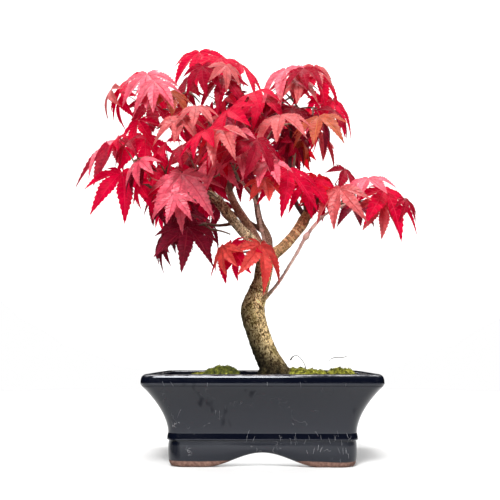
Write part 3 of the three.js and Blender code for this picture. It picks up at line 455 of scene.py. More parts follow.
# The set, in metres: the floor with its cove and wall, the white bowl and the dim room's wall
FLOOR_TONE = (0.8, 0.8, 0.795)
FLOOR_HALF = 4.0
FLOOR_FRONT = -3.5
FLOOR_BACK = 1.2
COVE_RADIUS = 0.9
WALL_TOP = 3.0
COVE_STEPS = 24
BOWL = {"radius": 1.15, "spread": 2.25, "lift": 0.001, "height": 3.0, "levels": 16, "sides": 96}
ROOM = {"radius": 1.0, "foot": 0.002, "top": 0.6, "sides": 48, "tone": (0.01, 0.01, 0.012)}


# Small vector helpers

def unit(vector):
    length = math.sqrt(float(vector @ vector))
    return vector / length if length else vector


def cross(a, b):
    return np.array([a[1] * b[2] - a[2] * b[1], a[2] * b[0] - a[0] * b[2], a[0] * b[1] - a[1] * b[0]])


def turned(vector, axis, degrees):
    angle = math.radians(degrees)
    along = axis * float(vector @ axis)
    return along + (vector - along) * math.cos(angle) + cross(axis, vector) * math.sin(angle)


def seeded_random(seed):
    """Small repeatable random numbers between 0 and 1, the same ones as the part's source draws."""
    mask = 0xFFFFFFFF
    state = seed & mask

    def draw():
        nonlocal state
        state = (state + 0x6D2B79F5) & mask
        mixed = ((state ^ (state >> 15)) * (state | 1)) & mask
        mixed ^= (mixed + (((mixed ^ (mixed >> 7)) * (mixed | 61)) & mask)) & mask
        return ((mixed ^ (mixed >> 14)) & mask) / (mask + 1)
    return draw


def drawn(limits, random):
    """A least value with what chance adds to it."""
    return limits[0] + limits[1] * random()


class Curve:
    """A route whose points can be asked for by share of its length."""
    DIVISIONS = 200
    NUDGE = 0.0001

    def lengths(self):
        points = [self.point(k / self.DIVISIONS) for k in range(self.DIVISIONS + 1)]
        total = [0.0]
        for before, after in zip(points, points[1:]):
            total.append(total[-1] + math.dist(before, after))
        return total

    def length(self):
        return self.sums[-1]

    def parameter(self, share):
        target = share * self.sums[-1]
        low = int(np.searchsorted(self.sums, target, side="right")) - 1
        if low >= self.DIVISIONS:
            return 1.0
        step = self.sums[low + 1] - self.sums[low]
        return (low + (target - self.sums[low]) / step) / self.DIVISIONS

    def point_at(self, share):
        return self.point(self.parameter(share))

    def tangent(self, place):
        return unit(self.point(min(place + self.NUDGE, 1)) - self.point(max(place - self.NUDGE, 0)))

    def tangent_at(self, share):
        return self.tangent(self.parameter(share))


class Arc(Curve):
    """A quadratic arc from one place to another past a bend."""
    def __init__(self, start, bend, end):
        self.start, self.bend, self.end = start, bend, end
        self.sums = self.lengths()

    def point(self, t):
        return (1 - t) ** 2 * self.start + 2 * (1 - t) * t * self.bend + t ** 2 * self.end


class Route(Curve):
    """A smooth centripetal curve through a limb's turns."""
    def __init__(self, turns):
        self.turns = [np.array(turn, dtype=float) for turn in turns]
        self.sums = self.lengths()

    def point(self, t):
        turns = self.turns
        place = (len(turns) - 1) * t
        low = min(int(place), len(turns) - 2)
        weight = place - low
        b, c = turns[low], turns[low + 1]
        a = turns[low - 1] if low > 0 else 2 * turns[0] - turns[1]
        d = turns[low + 2] if low + 2 < len(turns) else 2 * turns[-1] - turns[-2]
        ab, bc, cd = (math.dist(p, q) ** 0.5 for p, q in ((a, b), (b, c), (c, d)))
        leave = ((b - a) / ab - (c - a) / (ab + bc) + (c - b) / bc) * bc
        arrive = ((c - b) / bc - (d - b) / (bc + cd) + (d - c) / cd) * bc
        square = -3 * b + 3 * c - 2 * leave - arrive
        cube = 2 * b - 2 * c + leave + arrive
        return b + leave * weight + square * weight ** 2 + cube * weight ** 3


def radius_at(radii, share):
    return float(np.interp(share * (len(radii) - 1), range(len(radii)), radii))


CURVES = {limb["name"]: Route(limb["route"]) for limb in LIMBS}


def stations(limb, per_step):
    """Places along a limb: the share of its length, the point there and the radius."""
    count, curve = per_step * limb["steps"], CURVES[limb["name"]]
    shares = [step / count for step in range(count + 1)]
    return [(share, curve.point_at(share), radius_at(limb["radii"], share)) for share in shares]


# Growth: the same rule as in the part's source

def outward_from(point):
    return unit(np.array([point[0] - CROWN_AXIS[0], point[1] - CROWN_AXIS[1], 0.0]))


def shape_leaf(node, base, direction, rank, random, aim, sizes):
    facing = min(max((LIGHT_DEPTH - base[1]) / LIGHT_DEPTH, 0), 1)
    level = unit(np.array([direction[0], direction[1], 0.0]) + outward_from(base))
    level = unit(level + FRONT * LIGHT_PULL * facing)
    swing = AIM_SWING if aim else LEAF_SWING
    heading = turned(turned(FRONT, UP, aim[0]) if aim else level, UP, swing * (random() - 0.5))
    wander = random()
    droop = math.radians(aim[1] + swing * (wander - 0.5) if aim else DROOP[0] + DROOP[1] * wander)
    midrib = heading * math.cos(droop) - UP * math.sin(droop)
    across = unit(cross(midrib, UP))
    face = unit(cross(across, midrib))
    roll = swing * (random() - 0.5)
    chance = drawn(sizes or (LEAD_SIZE if rank == 0 else MINOR_SIZE), random)
    size = LEAF_LENGTH * (aim[2] if aim else chance)
    return {"node": node, "base": base, "midrib": midrib, "rank": rank, "size": size,
            "face": turned(face, midrib, roll), "across": turned(across, midrib, roll)}


def offer_leaf(node, base, direction, rank, random, aim=(), sizes=None):
    poses = [shape_leaf(node, base, direction, rank, random, aim, sizes) for _ in range(LEAF_POSES)]
    return {"rank": rank, "poses": poses}


def grow_leaf(node, direction, rank, random, sizes=None):
    length = drawn(PETIOLE_LENGTH, random)
    return offer_leaf(node, node + direction * length, direction, rank, random, sizes=sizes)


def blade_point(leaf, reach, turn):
    """A place on a blade, by its reach in blade lengths and its turn from the middle lobe."""
    angle = math.radians(turn)
    sag = LEAF_ARCH * reach * reach * (1 + LEAF_SIDE_ARCH * math.sin(angle) ** 2)
    return (leaf["base"] + leaf["midrib"] * leaf["size"] * reach * math.cos(angle)
            + leaf["across"] * leaf["size"] * reach * math.sin(angle)
            - leaf["face"] * (leaf["size"] * sag))


def leaf_marks(leaf):
    tips = []
    for turn, reach in LOBES:
        tips += [blade_point(leaf, reach, side) for side in ([0] if turn == 0 else [turn, -turn])]
    return np.array([leaf["base"], blade_point(leaf, 0.5, 0), *tips])


def arc_between(start, end, random):
    length = math.dist(start, end)
    side = unit(cross(end - start, UP))
    bend = (start + end) / 2 + UP * TWIG_RISE * length
    return Arc(start, bend + side * TWIG_SWAY * length * (random() - 0.5), end)


def nearest_fork(twigs, end):
    places = [twig.point(share) for twig in twigs for share in FORK_SHARES]
    return min(places, key=lambda place: math.dist(place, end))


def sprig_end(mass, random):
    turn = random() * math.pi * 2
    rise = 2 * random() - 1
    level = math.sqrt(1 - rise * rise)
    way = (level * math.cos(turn), level * math.sin(turn), rise)
    return np.array([m + SPRIG_REACH * r * w for m, r, w in zip(mass["middle"], mass["reach"], way)])


def grow_mass(mass):
    """The twigs of one mass and the leaves that it offers."""
    random = seeded_random(mass["seed"])
    middle = np.array(mass["middle"], dtype=float)
    root = np.array(mass["root"], dtype=float) if "root" in mass else CURVES[mass["limb"]].point_at(1)
    hub = np.array(mass["hub"], dtype=float) if "hub" in mass else root + (middle - root) * HUB_SHARE
    twigs = [arc_between(root, hub, random)]
    leaves = []
    sprigs = [(sprig_end(mass, random), (), 1) for _ in range(mass["sprigs"])]
    leads = [(np.array(lead[:3], dtype=float), lead[3:], 0) for lead in mass["leads"]]
    for index, (blade, aim, rank) in enumerate(leads + sprigs):
        away = unit(unit(blade - hub) + outward_from(blade))
        petiole = turned(away, UP, LEAD_SWING * (random() - 0.5))
        petiole = unit(petiole + UP * PETIOLE_RISE)
        length = drawn(PETIOLE_LENGTH, random)
        node = blade - petiole * length
        twig = arc_between(nearest_fork(twigs, node), node, random)
        twigs.append(twig)
        spray = [offer_leaf(node, blade, petiole, rank, random, aim)]
        grow_pairs(twig, petiole, spray, random)
        for leaf in spray:
            leaf["tint"] = mass["tints"][index % len(mass["tints"])]
        leaves += spray
    return {"mass": mass, "twigs": twigs, "leaves": leaves}


def grow_pairs(twig, petiole, leaves, random):
    """Opposite pairs of leaves along a twig, each pair square to the next."""
    length = twig.length()
    tangent = twig.tangent(1)
    partner = 2 * float(petiole @ tangent) * tangent - petiole
    swing = PARTNER_SWING * (random() - 0.5)
    leaves.append(grow_leaf(twig.point(1), turned(partner, UP, swing), 1, random))
    side = unit(cross(tangent, petiole))
    back, pair = INTERNODE, 0
    while back < length - BARE_TWIG:
        share = 1 - back / length
        node, forward = twig.point_at(share), twig.tangent_at(share)
        square = turned(side, forward, 90 * pair)
        for hand in (1, -1):
            spread = math.radians(PETIOLE_ANGLE[0] + PETIOLE_ANGLE[1] * (random() - 0.5))
            direction = forward * math.cos(spread) + square * hand * math.sin(spread)
            leaves.append(grow_leaf(node, direction, 2, random))
        back, pair = back + INTERNODE, pair + 1


# Which leaves are kept: inside the mass's space, clear of limbs and not through another leaf

def inside_space(marks, space):
    offsets = (marks - np.array(space["middle"])) / np.array(space["reach"])
    return np.linalg.norm(offsets, axis=1) <= 1


def lobe_tips(leaf):
    turns = [(-turn, reach) for turn, reach in reversed(LOBES[1:])] + LOBES
    return np.array([blade_point(leaf, reach * LEAF_MARGIN, turn) for turn, reach in turns])


def passes_through(tips, base, other_tips, other_base):
    """Does a line from the base to one of the tips cross the other blade's fan of triangles?"""
    one = (other_tips[:-1] - other_base)[None]
    two = (other_tips[1:] - other_base)[None]
    line = (tips - base)[:, None]
    normal = np.cross(one, two)
    slope = -(line * normal).sum(axis=2)
    slope = np.where(np.abs(slope) < 1e-9, np.nan, slope)
    start = (base - other_base)[None, None]
    moment = np.cross(np.broadcast_to(start, line.shape), line)
    along = (start * normal).sum(axis=2) / slope
    first = (two * moment).sum(axis=2) / slope
    second = -(one * moment).sum(axis=2) / slope
    hit = (along >= 0) & (along <= 1) & (first >= 0) & (second >= 0) & (first + second <= 1)
    return bool(hit.any())


def limb_samples():
    """Points along every limb, and how far from each a leaf has to stay."""
    places = [place for limb in LIMBS for place in stations(limb, LIMB_RINGS)]
    radii = np.array([radius for *_, radius in places])
    return np.array([point for _, point, _ in places]), radii + LEAF_LIMB_CLEARANCE


def fits(leaf, mass, placed, limb_points, limb_radii):
    marks = leaf_marks(leaf)
    gaps = np.linalg.norm(marks[:, None] - limb_points[None], axis=2)
    if not (gaps > limb_radii).all():
        return False
    if leaf["rank"] > 0 and not (inside_space(marks, mass) & ~inside_space(marks, CLEARING)).all():
        return False
    tips = lobe_tips(leaf)
    for other in placed:
        if math.dist(other["base"], leaf["base"]) >= LEAF_NEIGHBOURHOOD:
            continue
        if math.dist(other["centre"], marks[1]) <= LEAF_SPACING:
            return False
        if passes_through(tips, leaf["base"], other["tips"], other["base"]):
            return False
        if passes_through(other["tips"], other["base"], tips, leaf["base"]):
            return False
    return True


def keep_leaves(grown, samples, placed, ranks):
    """Adds to the placed leaves, rank by rank, the first pose of each offer that fits."""
    for rank in ranks:
        for entry in grown:
            for offer in [leaf for leaf in entry["leaves"] if leaf["rank"] == rank]:
                fitting = (p for p in offer["poses"] if fits(p, entry["mass"], placed, *samples))
                leaf = next(fitting, offer["poses"][0] if rank == 0 else None)
                if leaf:
                    leaf.update(tint=offer["tint"], tips=lobe_tips(leaf), centre=leaf_marks(leaf)[1])
                    placed.append(leaf)
    return placed


# Meshes

def place(points):
    """Millimetres from the pot's centre to metres in the part's frame."""
    return np.asarray(points, dtype=float) * MM + POT_CENTRE


def link(name, data):
    """A new object in the scene."""
    thing = bpy.data.objects.new(name, data)
    bpy.context.scene.collection.objects.link(thing)
    return thing


def new_mesh(name, points, faces, material, smooth):
    mesh = bpy.data.meshes.new(name)
    mesh.from_pydata(np.asarray(points).tolist(), [], faces)
    mesh.shade_smooth() if smooth else mesh.shade_flat()
    mesh.materials.append(material)
    return link(name, mesh)


def new_piece(name, points, faces, material, uvs=None, smooth=True):
    """A mesh piece from points in millimetres, riding on the plant's one body."""
    piece = new_mesh(name, place(points), faces, material, smooth)
    if uvs is not None:
        layer = piece.data.uv_layers.new(name="blade")
        corners = np.zeros(len(piece.data.loops), dtype=np.int32)
        piece.data.loops.foreach_get("vertex_index", corners)
        layer.data.foreach_set("uv", np.asarray(uvs, dtype=np.float32)[corners].ravel())
    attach(piece, "root")
    return piece


class Batch:
    """Points and faces of many small things, gathered for one joined mesh."""
    def __init__(self):
        self.points, self.faces, self.uvs, self.count = [], [], [], 0

    def add(self, points, faces, uvs=None):
        self.points.append(np.asarray(points, dtype=float))
        self.faces += [tuple(index + self.count for index in face) for face in faces]
        self.uvs.append(np.zeros((len(points), 2)) if uvs is None else uvs)
        self.count += len(points)

    def build(self, name, material, slot, smooth=True):
        return new_piece(name, np.concatenate(self.points), self.faces, material,
                         np.concatenate(self.uvs), smooth)


def circle(count, offset=0.0):
    """Angles evenly round a circle, in radians."""
    return [(k + offset) / count * 2 * math.pi for k in range(count)]


def ring_faces(levels, count, closed=True):
    """Quads between rings of points that lie one after another."""
    faces = []
    for level in range(levels - 1):
        for index in range(count if closed else count - 1):
            after = (index + 1) % count
            low, high = level * count, (level + 1) * count
            faces.append((low + index, low + after, high + after, high + index))
    return faces


def tube_mesh(points, radii, sides):
    """A round rod through points, closed at both ends."""
    points = [np.asarray(point, dtype=float) for point in points]
    around = zip(points[:1] + points, points[1:] + points[-1:])
    tangents = [unit(after - before) for before, after in around]
    helper = np.array([1.0, 0.0, 0.0]) if abs(tangents[0][0]) < 0.8 else np.array([0.0, 1.0, 0.0])
    normal = unit(cross(tangents[0], helper))
    angles = np.arange(sides) / sides * 2 * math.pi
    rings = []
    for point, tangent, radius in zip(points, tangents, radii):
        normal = unit(normal - tangent * float(normal @ tangent))
        other = cross(tangent, normal)
        ring = np.outer(np.cos(angles), normal) + np.outer(np.sin(angles), other)
        rings.append(point + radius * ring)
    last = (len(points) - 1) * sides
    caps = [tuple(reversed(range(sides))), tuple(range(last, last + sides))]
    return np.concatenate(rings), ring_faces(len(points), sides) + caps


def swept(curve, radii, steps, sides):
    """A rod along a curve, its radius read from a list by share of its length."""
    shares = [k / steps for k in range(steps + 1)]
    return tube_mesh([curve.point_at(s) for s in shares], [radius_at(radii, s) for s in shares], sides)


# Materials

class Nodes:
    """A new material's nodes. A socket is either linked or given a value, and a grey is one number."""
    def __init__(self, name):
        self.material = bpy.data.materials.new(name)
        self.material.use_nodes = True
        self.tree = self.material.node_tree
        self.tree.nodes.clear()

    def add(self, kind, sockets, **settings):
        node = self.tree.nodes.new("ShaderNode" + kind)
        for name, value in settings.items():
            setattr(node, name, value)
        for name, value in sockets.items():
            socket = node.inputs[name]
            if isinstance(value, bpy.types.NodeSocket):
                self.tree.links.new(value, socket)
            else:
                socket.default_value = (*value, 1) if socket.type == "RGBA" else value
        return node.outputs

    def point(self, scale=(1, 1, 1)):
        """A place on the piece in metres, stretched along its axes."""
        return self.add("Mapping", {"Vector": self.add("TexCoord", {})["Object"], "Scale": scale})[0]

    def noise(self, vector, scale, detail=4.0, roughness=0.55, distortion=0.0):
        return self.add("TexNoise", {"Vector": vector, "Scale": scale, "Detail": detail,
                                     "Roughness": roughness, "Distortion": distortion})["Fac"]

    def math(self, operation, *values):
        return self.add("Math", dict(enumerate(values)), operation=operation)[0]

    def ramp(self, factor, stops):
        output = self.add("ValToRGB", {"Fac": factor})["Color"]
        elements = output.node.color_ramp.elements
        while len(elements) < len(stops):
            elements.new(0.5)
        for element, (position, colour) in zip(elements, stops):
            element.position = position
            element.color = (*(colour if isinstance(colour, tuple) else [colour] * 3), 1)
        return output

    def mix(self, factor, first, second, blend="MIX"):
        """Two colours mixed; inputs 6 and 7 and output 2 of the node are its colours."""
        sockets = {0: factor, 6: first, 7: second}
        return self.add("Mix", sockets, data_type="RGBA", blend_type=blend)[2]

    def multiplied(self, first, second):
        return self.mix(1.0, first, second, "MULTIPLY")

    def bump(self, height, strength, distance):
        return self.add("Bump", {"Height": height, "Strength": strength, "Distance": distance})[0]

    def surface(self, **values):
        """A principled shader, with each value named after its socket."""
        sockets = {name.replace("_", " "): value for name, value in values.items()}
        return self.add("BsdfPrincipled", sockets)[0]

    def blended(self, share, first, second):
        return self.add("MixShader", {0: share, 1: first, 2: second})[0]

    def finished(self, shader):
        self.add("OutputMaterial", {"Surface": shader})
        return self.material


def scaled(colour, shares):
    return tuple(part * share for part, share in zip(colour, shares))


def leaf_material(name):
    """One plain tint, a little deeper in patches and paler on the main veins; light comes through it."""
    colour, through_colour, through_share, sheen, vein = LEAF_TINTS[name]
    nodes = Nodes(f"leaf_{name}")
    blade = nodes.add("SeparateXYZ", {"Vector": nodes.add("UVMap", {}, uv_map="blade")["UV"]})
    across = nodes.math("ABSOLUTE", blade["X"])
    main_vein = nodes.ramp(across, [(0.0, 1), (0.06, 0.8), (0.11, 0)])
    slanted = nodes.math("SUBTRACT", blade["Y"], nodes.math("MULTIPLY", across, VEIN_SLANT))
    rows = nodes.math("MULTIPLY", slanted, VEIN_ROWS)
    side_vein = nodes.ramp(nodes.math("SINE", rows), [(0.75, 0), (1.0, 0.5)])
    veins = nodes.math("MAXIMUM", main_vein, side_vein)
    mottle = nodes.noise(nodes.point(), 230.0, 4.0, 0.65)
    body = nodes.mix(nodes.ramp(mottle, [(0.35, 0), (0.62, 1)]), scaled(colour, LEAF_MOTTLE), colour)
    drift = nodes.ramp(nodes.noise(nodes.point(), 42.0, 2.0), [(0.56, 0), (0.72, 0.7)])
    body = nodes.mix(drift, body, scaled(colour, LEAF_FLUSH))
    tint = nodes.mix(nodes.math("MULTIPLY", veins, VEIN_STRENGTH), body, vein)
    relief = nodes.bump(nodes.math("ADD", veins, mottle), 0.9, 0.0008)
    gloss = nodes.surface(Roughness=0.36, IOR=1.4, Specular_IOR_Level=sheen, Base_Color=tint, Normal=relief)
    through = nodes.add("BsdfTranslucent", {"Color": through_colour})[0]
    return nodes.finished(nodes.blended(through_share, gloss, through))


def bark_material():
    """Each limb's own tone, with the painted shade and light that the skin carries, broken into pale plates
    by a dark network of fine cracks.
    """
    nodes = Nodes("bark")
    limb = nodes.add("Attribute", {}, attribute_name="tone")
    point = nodes.point((1, 1, 0.75))
    patches = nodes.noise(point, 330.0, 4.0, 0.6, 1.6)
    bloom = nodes.noise(point, 48.0, 3.0)
    grain = nodes.noise(point, 900.0, 4.0, 0.7)
    plates = nodes.ramp(patches, [(0.36, (0.10, 0.07, 0.045)), (0.45, (0.42, 0.34, 0.26)),
                                  (0.51, (0.95, 0.9, 0.8)), (0.60, (1.5, 1.5, 1.5))])
    olive = nodes.ramp(patches, [(0.4, (0.2, 0.22, 0.08)), (0.6, (0.85, 0.95, 0.4))])
    old = nodes.mix(nodes.ramp(bloom, [(0.5, 0), (0.68, 0.7)]), nodes.multiplied(limb["Color"], plates),
                    nodes.multiplied(limb["Color"], olive))
    wobble = nodes.add("TexNoise", {"Vector": point, "Scale": 260.0})["Color"]
    reach = (0.006, 0.006, 0.006)
    warped = nodes.add("VectorMath", {0: wobble, 1: reach, 2: point}, operation="MULTIPLY_ADD")[0]
    cells = nodes.add("TexVoronoi", {"Vector": warped, "Scale": 560.0}, feature="DISTANCE_TO_EDGE")
    cracks = nodes.ramp(cells["Distance"], [(0.02, 0.5), (0.12, 1)])
    young = nodes.multiplied(limb["Color"], nodes.ramp(grain, [(0.3, 0.62), (0.7, 1.1)]))
    colour = nodes.mix(limb["Alpha"], young, nodes.multiplied(old, cracks))
    relief = nodes.bump(nodes.math("ADD", cracks, grain), 0.7, 0.0008)
    skin = nodes.surface(Roughness=0.8, Specular_IOR_Level=0.1, Base_Color=colour, Normal=relief)
    return nodes.finished(skin)


def plain_material(name, stops, scale, roughness, relief=0.0):
    """A matte material whose colour wanders between a few tones."""
    nodes = Nodes(name)
    fleck = nodes.noise(nodes.point(), scale)
    normal = {"Normal": nodes.bump(fleck, 0.6, relief)} if relief else {}
    return nodes.finished(nodes.surface(Roughness=roughness, Base_Color=nodes.ramp(fleck, stops), **normal))


def glaze_material():
    """Near-black blue glaze with wiped streaks, lint and a painted rim highlight; it ends in bare clay at the
    feet.
    """
    nodes = Nodes("glaze")
    point = nodes.point()
    height = nodes.add("SeparateXYZ", {"Vector": point})["Z"]
    tenths = nodes.math("MULTIPLY", height, 10.0)
    smudge = nodes.noise(point, 18.0, 3.0)
    wiped = nodes.ramp(nodes.noise(nodes.point((1, 1, 0.4)), 62.0, 2.0), [(0.29, 0.14), (0.37, 0.5)])
    contour = nodes.math("ABSOLUTE", nodes.math("SUBTRACT", nodes.noise(point, 95.0, 2.0), 0.5))
    hairs = nodes.ramp(contour, [(0.0, 1), (0.003, 0.6), (0.006, 0)])
    broken = nodes.ramp(nodes.noise(point, 70.0, 2.0), [(0.58, 0), (0.64, 1)])
    low = nodes.ramp(tenths, [(0.1, 0.9), (0.34, 0.8), (0.5, 0.18), (0.8, 0.22)])
    lint = nodes.math("MULTIPLY", nodes.math("MULTIPLY", hairs, broken), low)
    # Painted highlight: a pale line round the rim's outer and inner top edges, broken into dashes by noise,
    # in the lint's pale colour
    edge = nodes.ramp(tenths, [(0.7345, 0), (0.7375, 1), (0.742, 1), (0.745, 0)])
    highlight_gaps = nodes.ramp(nodes.noise(point, 130.0, 3.0), [(0.38, 0.1), (0.6, 1)])
    marks = nodes.math("MAXIMUM", lint, nodes.math("MULTIPLY", edge, highlight_gaps))
    colour = nodes.mix(marks, (0.0025, 0.0035, 0.009), (0.34, 0.34, 0.35))
    glaze = nodes.surface(IOR=1.52, Specular_Tint=(0.91, 0.94, 1.0), Specular_IOR_Level=wiped,
                          Roughness=nodes.ramp(smudge, [(0.4, 0.08), (0.75, 0.17)]), Base_Color=colour)
    brown = nodes.ramp(nodes.noise(point, 420.0), [(0.35, (0.17, 0.085, 0.062)), (0.7, (0.36, 0.20, 0.15))])
    clay = nodes.surface(Roughness=0.75, Base_Color=brown)
    wander = nodes.math("MULTIPLY", nodes.math("SUBTRACT", smudge, 0.5), 0.004)
    centimetres = nodes.math("MULTIPLY", nodes.math("ADD", height, wander), 100.0)
    return nodes.finished(nodes.blended(nodes.ramp(centimetres, [(0.44, 1), (0.52, 0)]), glaze, clay))


# Pot, soil and moss

def half_depth(half):
    share = (half - FOOT_HALF) / (RIM_HALF - FOOT_HALF)
    return FOOT_HALF_DEPTH + share * (RIM_HALF_DEPTH - FOOT_HALF_DEPTH)


def flare_half(z):
    share = max(z - FLARE_FOOT_Z, 0) / (FLARE_TOP_Z - FLARE_FOOT_Z)
    return FOOT_HALF + FLARE_SET_OUT + (RIM_HALF - FLARE_SET_IN - FOOT_HALF) * share ** FLARE_POWER


def pot_ring(half, z, inset=0):
    """A rounded rectangle with points along its sides, so that its foot can follow the arches."""
    radius = max(CORNER_RADIUS - inset, LEAST_RADIUS)
    long, deep = half - inset - radius, half_depth(half) - inset - radius
    corners = [(1, 1), (-1, 1), (-1, -1), (1, -1)]
    ring = []
    for corner, (sign_x, sign_y) in enumerate(corners):
        arc = [(corner + step / CORNER_STEPS) * math.pi / 2 for step in range(CORNER_STEPS + 1)]
        ring += [(sign_x * long + radius * math.cos(a), sign_y * deep + radius * math.sin(a)) for a in arc]
        next_x, next_y = corners[(corner + 1) % 4]
        start = ring[-1]
        end = (next_x * long + radius * math.cos(arc[-1]), next_y * deep + radius * math.sin(arc[-1]))
        for step in range(1, SIDE_STEPS):
            share = step / SIDE_STEPS
            ring.append((start[0] + (end[0] - start[0]) * share, start[1] + (end[1] - start[1]) * share))
    return [(x, y, lifted(x, y, z, long, deep)) for x, y in ring]


def lifted(x, y, z, long, deep):
    """Height of a foot's point, pushed up by the arch of the side that it lies on."""
    if z >= ARCH_FADE_Z:
        return z
    rise = 0.0
    sides = ((x, long, ARCH_FRONT, y, deep), (y, deep, ARCH_SIDE, x, long))
    for along, limit, (half, height), across, other in sides:
        if abs(along) < min(half, limit) and abs(across) >= other:
            rise = max(rise, height * math.cos(along / half * math.pi / 2) ** 2)
    return rise + z * (1 - rise / ARCH_FADE_Z)


def make_pot():
    rings = [pot_ring(FOOT_HALF, RECESS_Z, SKIRT_RECESS)]
    rings.append(pot_ring(FOOT_HALF + FOOT_PROFILE[0][0], 0, SKIRT_FOOT))
    rings += [pot_ring(FOOT_HALF + out, z) for out, z in FOOT_PROFILE + BAND_PROFILE]
    for step in range(FLARE_RINGS + 1):
        z = FLARE_FOOT_Z + (FLARE_TOP_Z - FLARE_FOOT_Z) * step / FLARE_RINGS
        rings.append(pot_ring(flare_half(z), z))
    rings += [pot_ring(RIM_HALF + out, z) for out, z in RIM_PROFILE]
    rings += [pot_ring(RIM_HALF, z, WALL + inset) for inset, z in MOUTH_PROFILE]
    count = len(rings[0])
    faces = ring_faces(len(rings), count) + [tuple(range(count))]
    pot = new_piece("bonsai_pot", np.concatenate(rings), faces, glaze_material())
    weighted = pot.modifiers.new("Weighted", "WEIGHTED_NORMAL")
    weighted.keep_sharp = True
    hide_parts("pot")


def outer_half(z):
    """Half the pot's length over its outer skin at a height."""
    profile = [(FOOT_HALF + out, height) for out, height in FOOT_PROFILE + BAND_PROFILE]
    heights = np.linspace(FLARE_FOOT_Z, FLARE_TOP_Z, FLARE_RINGS)
    profile += [(flare_half(height), height) for height in heights]
    profile += [(RIM_HALF + out, height) for out, height in RIM_PROFILE]
    return float(np.interp(z, [height for _, height in profile], [half for half, _ in profile]))


def make_scratches():
    """Pale hair scratches, thickest at the lower right of the pot's front."""
    pale = plain_material("scratch", [(0.35, (0.08, 0.08, 0.09)), (0.7, (0.5, 0.5, 0.52))], 90.0, 0.6)
    random = seeded_random(SCRATCH_SEED)
    radii = [SCRATCH_TIP, *[SCRATCH_RADIUS] * (SCRATCH_STEPS - 1), SCRATCH_TIP]
    hairs = Batch()
    for count, (middle, spread), (low, high), lengths in SCRATCHES:
        for _ in range(count):
            x, z = middle + spread * (2 * random() - 1), low + (high - low) * random()
            lean, bend = SCRATCH_LEAN * (random() - 0.5), SCRATCH_BEND * (random() - 0.5)
            length = drawn(lengths, random)
            points = []
            for step in range(SCRATCH_STEPS + 1):
                along = length * step / SCRATCH_STEPS
                across = x + math.sin(lean) * along + bend * along * along
                height = min(z + math.cos(lean) * along, RIM_PROFILE[-1][1])
                points.append((across, -half_depth(outer_half(height)) + SCRATCH_SINK, height))
            hairs.add(*tube_mesh(points, radii, SCRATCH_SIDES))
    hairs.build("hair_scratches", pale, "glaze")


def grain_shape(random):
    """A low rough pebble about the origin, one unit across."""
    points = []
    for level, (height, spread) in enumerate(GRAIN_RINGS):
        for turn in circle(GRAIN_SIDES, 0.5 * (level % 2)):
            x = spread * math.cos(turn) * drawn(GRAIN_WIDTH, random)
            y = spread * math.sin(turn) * drawn(GRAIN_WIDTH, random)
            points.append((x, y, height * drawn(GRAIN_HEIGHT, random)))
    bottom, top = range(GRAIN_SIDES), range(len(points) - GRAIN_SIDES, len(points))
    return np.array(points), ring_faces(len(GRAIN_RINGS), GRAIN_SIDES) + [tuple(reversed(bottom)), tuple(top)]


def spun(points, random, size):
    turn = random() * 2 * math.pi
    tilt = GRAIN_TILT * (random() - 0.5)
    x, y, z = points.T
    x, y = x * math.cos(turn) - y * math.sin(turn), x * math.sin(turn) + y * math.cos(turn)
    x, z = x * math.cos(tilt) - z * math.sin(tilt), x * math.sin(tilt) + z * math.cos(tilt)
    return np.stack([x, y, z], axis=1) * size


def soil_height(x, y):
    swell = noise.noise(Vector((x * SOIL_SWELL_SCALE, y * SOIL_SWELL_SCALE, 4.0)))
    return SOIL_TOP_Z - SOIL_DIP + SOIL_SWELL * swell


def make_soil():
    random = seeded_random(SOIL_SEED)
    outer = flare_half(SOIL_TOP_Z - 2)
    half, deep = outer - SOIL_INSET, half_depth(outer) - SOIL_INSET
    columns, rows = SOIL_CELLS
    points = []
    for row in range(rows + 1):
        for column in range(columns + 1):
            x, y = half * (2 * column / columns - 1), deep * (2 * row / rows - 1)
            rough = SOIL_ROUGH * noise.noise(Vector((x * SOIL_ROUGH_SCALE, y * SOIL_ROUGH_SCALE, 0)))
            points.append((x, y, soil_height(x, y) + rough))
    earth = plain_material("soil", [(0.3, (0.014, 0.010, 0.008)), (0.55, (0.05, 0.034, 0.024)),
                                    (0.75, (0.13, 0.09, 0.06))], 300.0, 0.95, 0.001)
    bed = new_piece("soil_bed", points, ring_faces(rows + 1, columns + 1, closed=False), earth)
    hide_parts("soil")
    grains = Batch()
    pebbles = [grain_shape(random) for _ in range(GRAIN_KINDS)]
    for _ in range(GRAINS):
        x, y = half * (2 * random() - 1) * GRAIN_REACH, deep * (2 * random() - 1) * GRAIN_REACH
        size = GRAIN_SIZE[0] + GRAIN_SIZE[1] * random() ** 2
        shape, shape_faces = pebbles[int(random() * len(pebbles))]
        grains.add(spun(shape, random, size) + (x, y, soil_height(x, y) + GRAIN_LIFT * size), shape_faces)
    grains.build("soil_grains", earth, "soil", smooth=False)


def cushion_place(moss, turn, spread, sink):
    """A place on a cushion, by its turn and its spread from the middle; its top is uneven."""
    x = moss["x"] + moss["length"] / 2 * spread * math.cos(turn)
    y = moss["y"] + moss["width"] / 2 * spread * math.sin(turn)
    across = math.hypot((x - moss["x"]) * 2 / moss["length"], (y - moss["y"]) * 2 / moss["width"])
    way = math.atan2(y - moss["y"], x - moss["x"])
    edge = 1.0
    for depth, waves, sign in CUSHION_WAVES:
        edge += depth * math.cos(waves * way + sign * moss["seed"])
    dome = math.sqrt(max(1 - (across / edge) ** 2, 0))
    coarse, fine = CLUMP_SCALES
    clumps = noise.noise(Vector((x * coarse, y * coarse, moss["seed"])))
    clumps += CLUMP_SHARE * noise.noise(Vector((x * fine, y * fine, 2.0)))
    height = dome * max(moss["height"] + moss["clumps"] * clumps, 1.0)
    return np.array([x, y, SOIL_TOP_Z - sink + CUSHION_RISE * height])


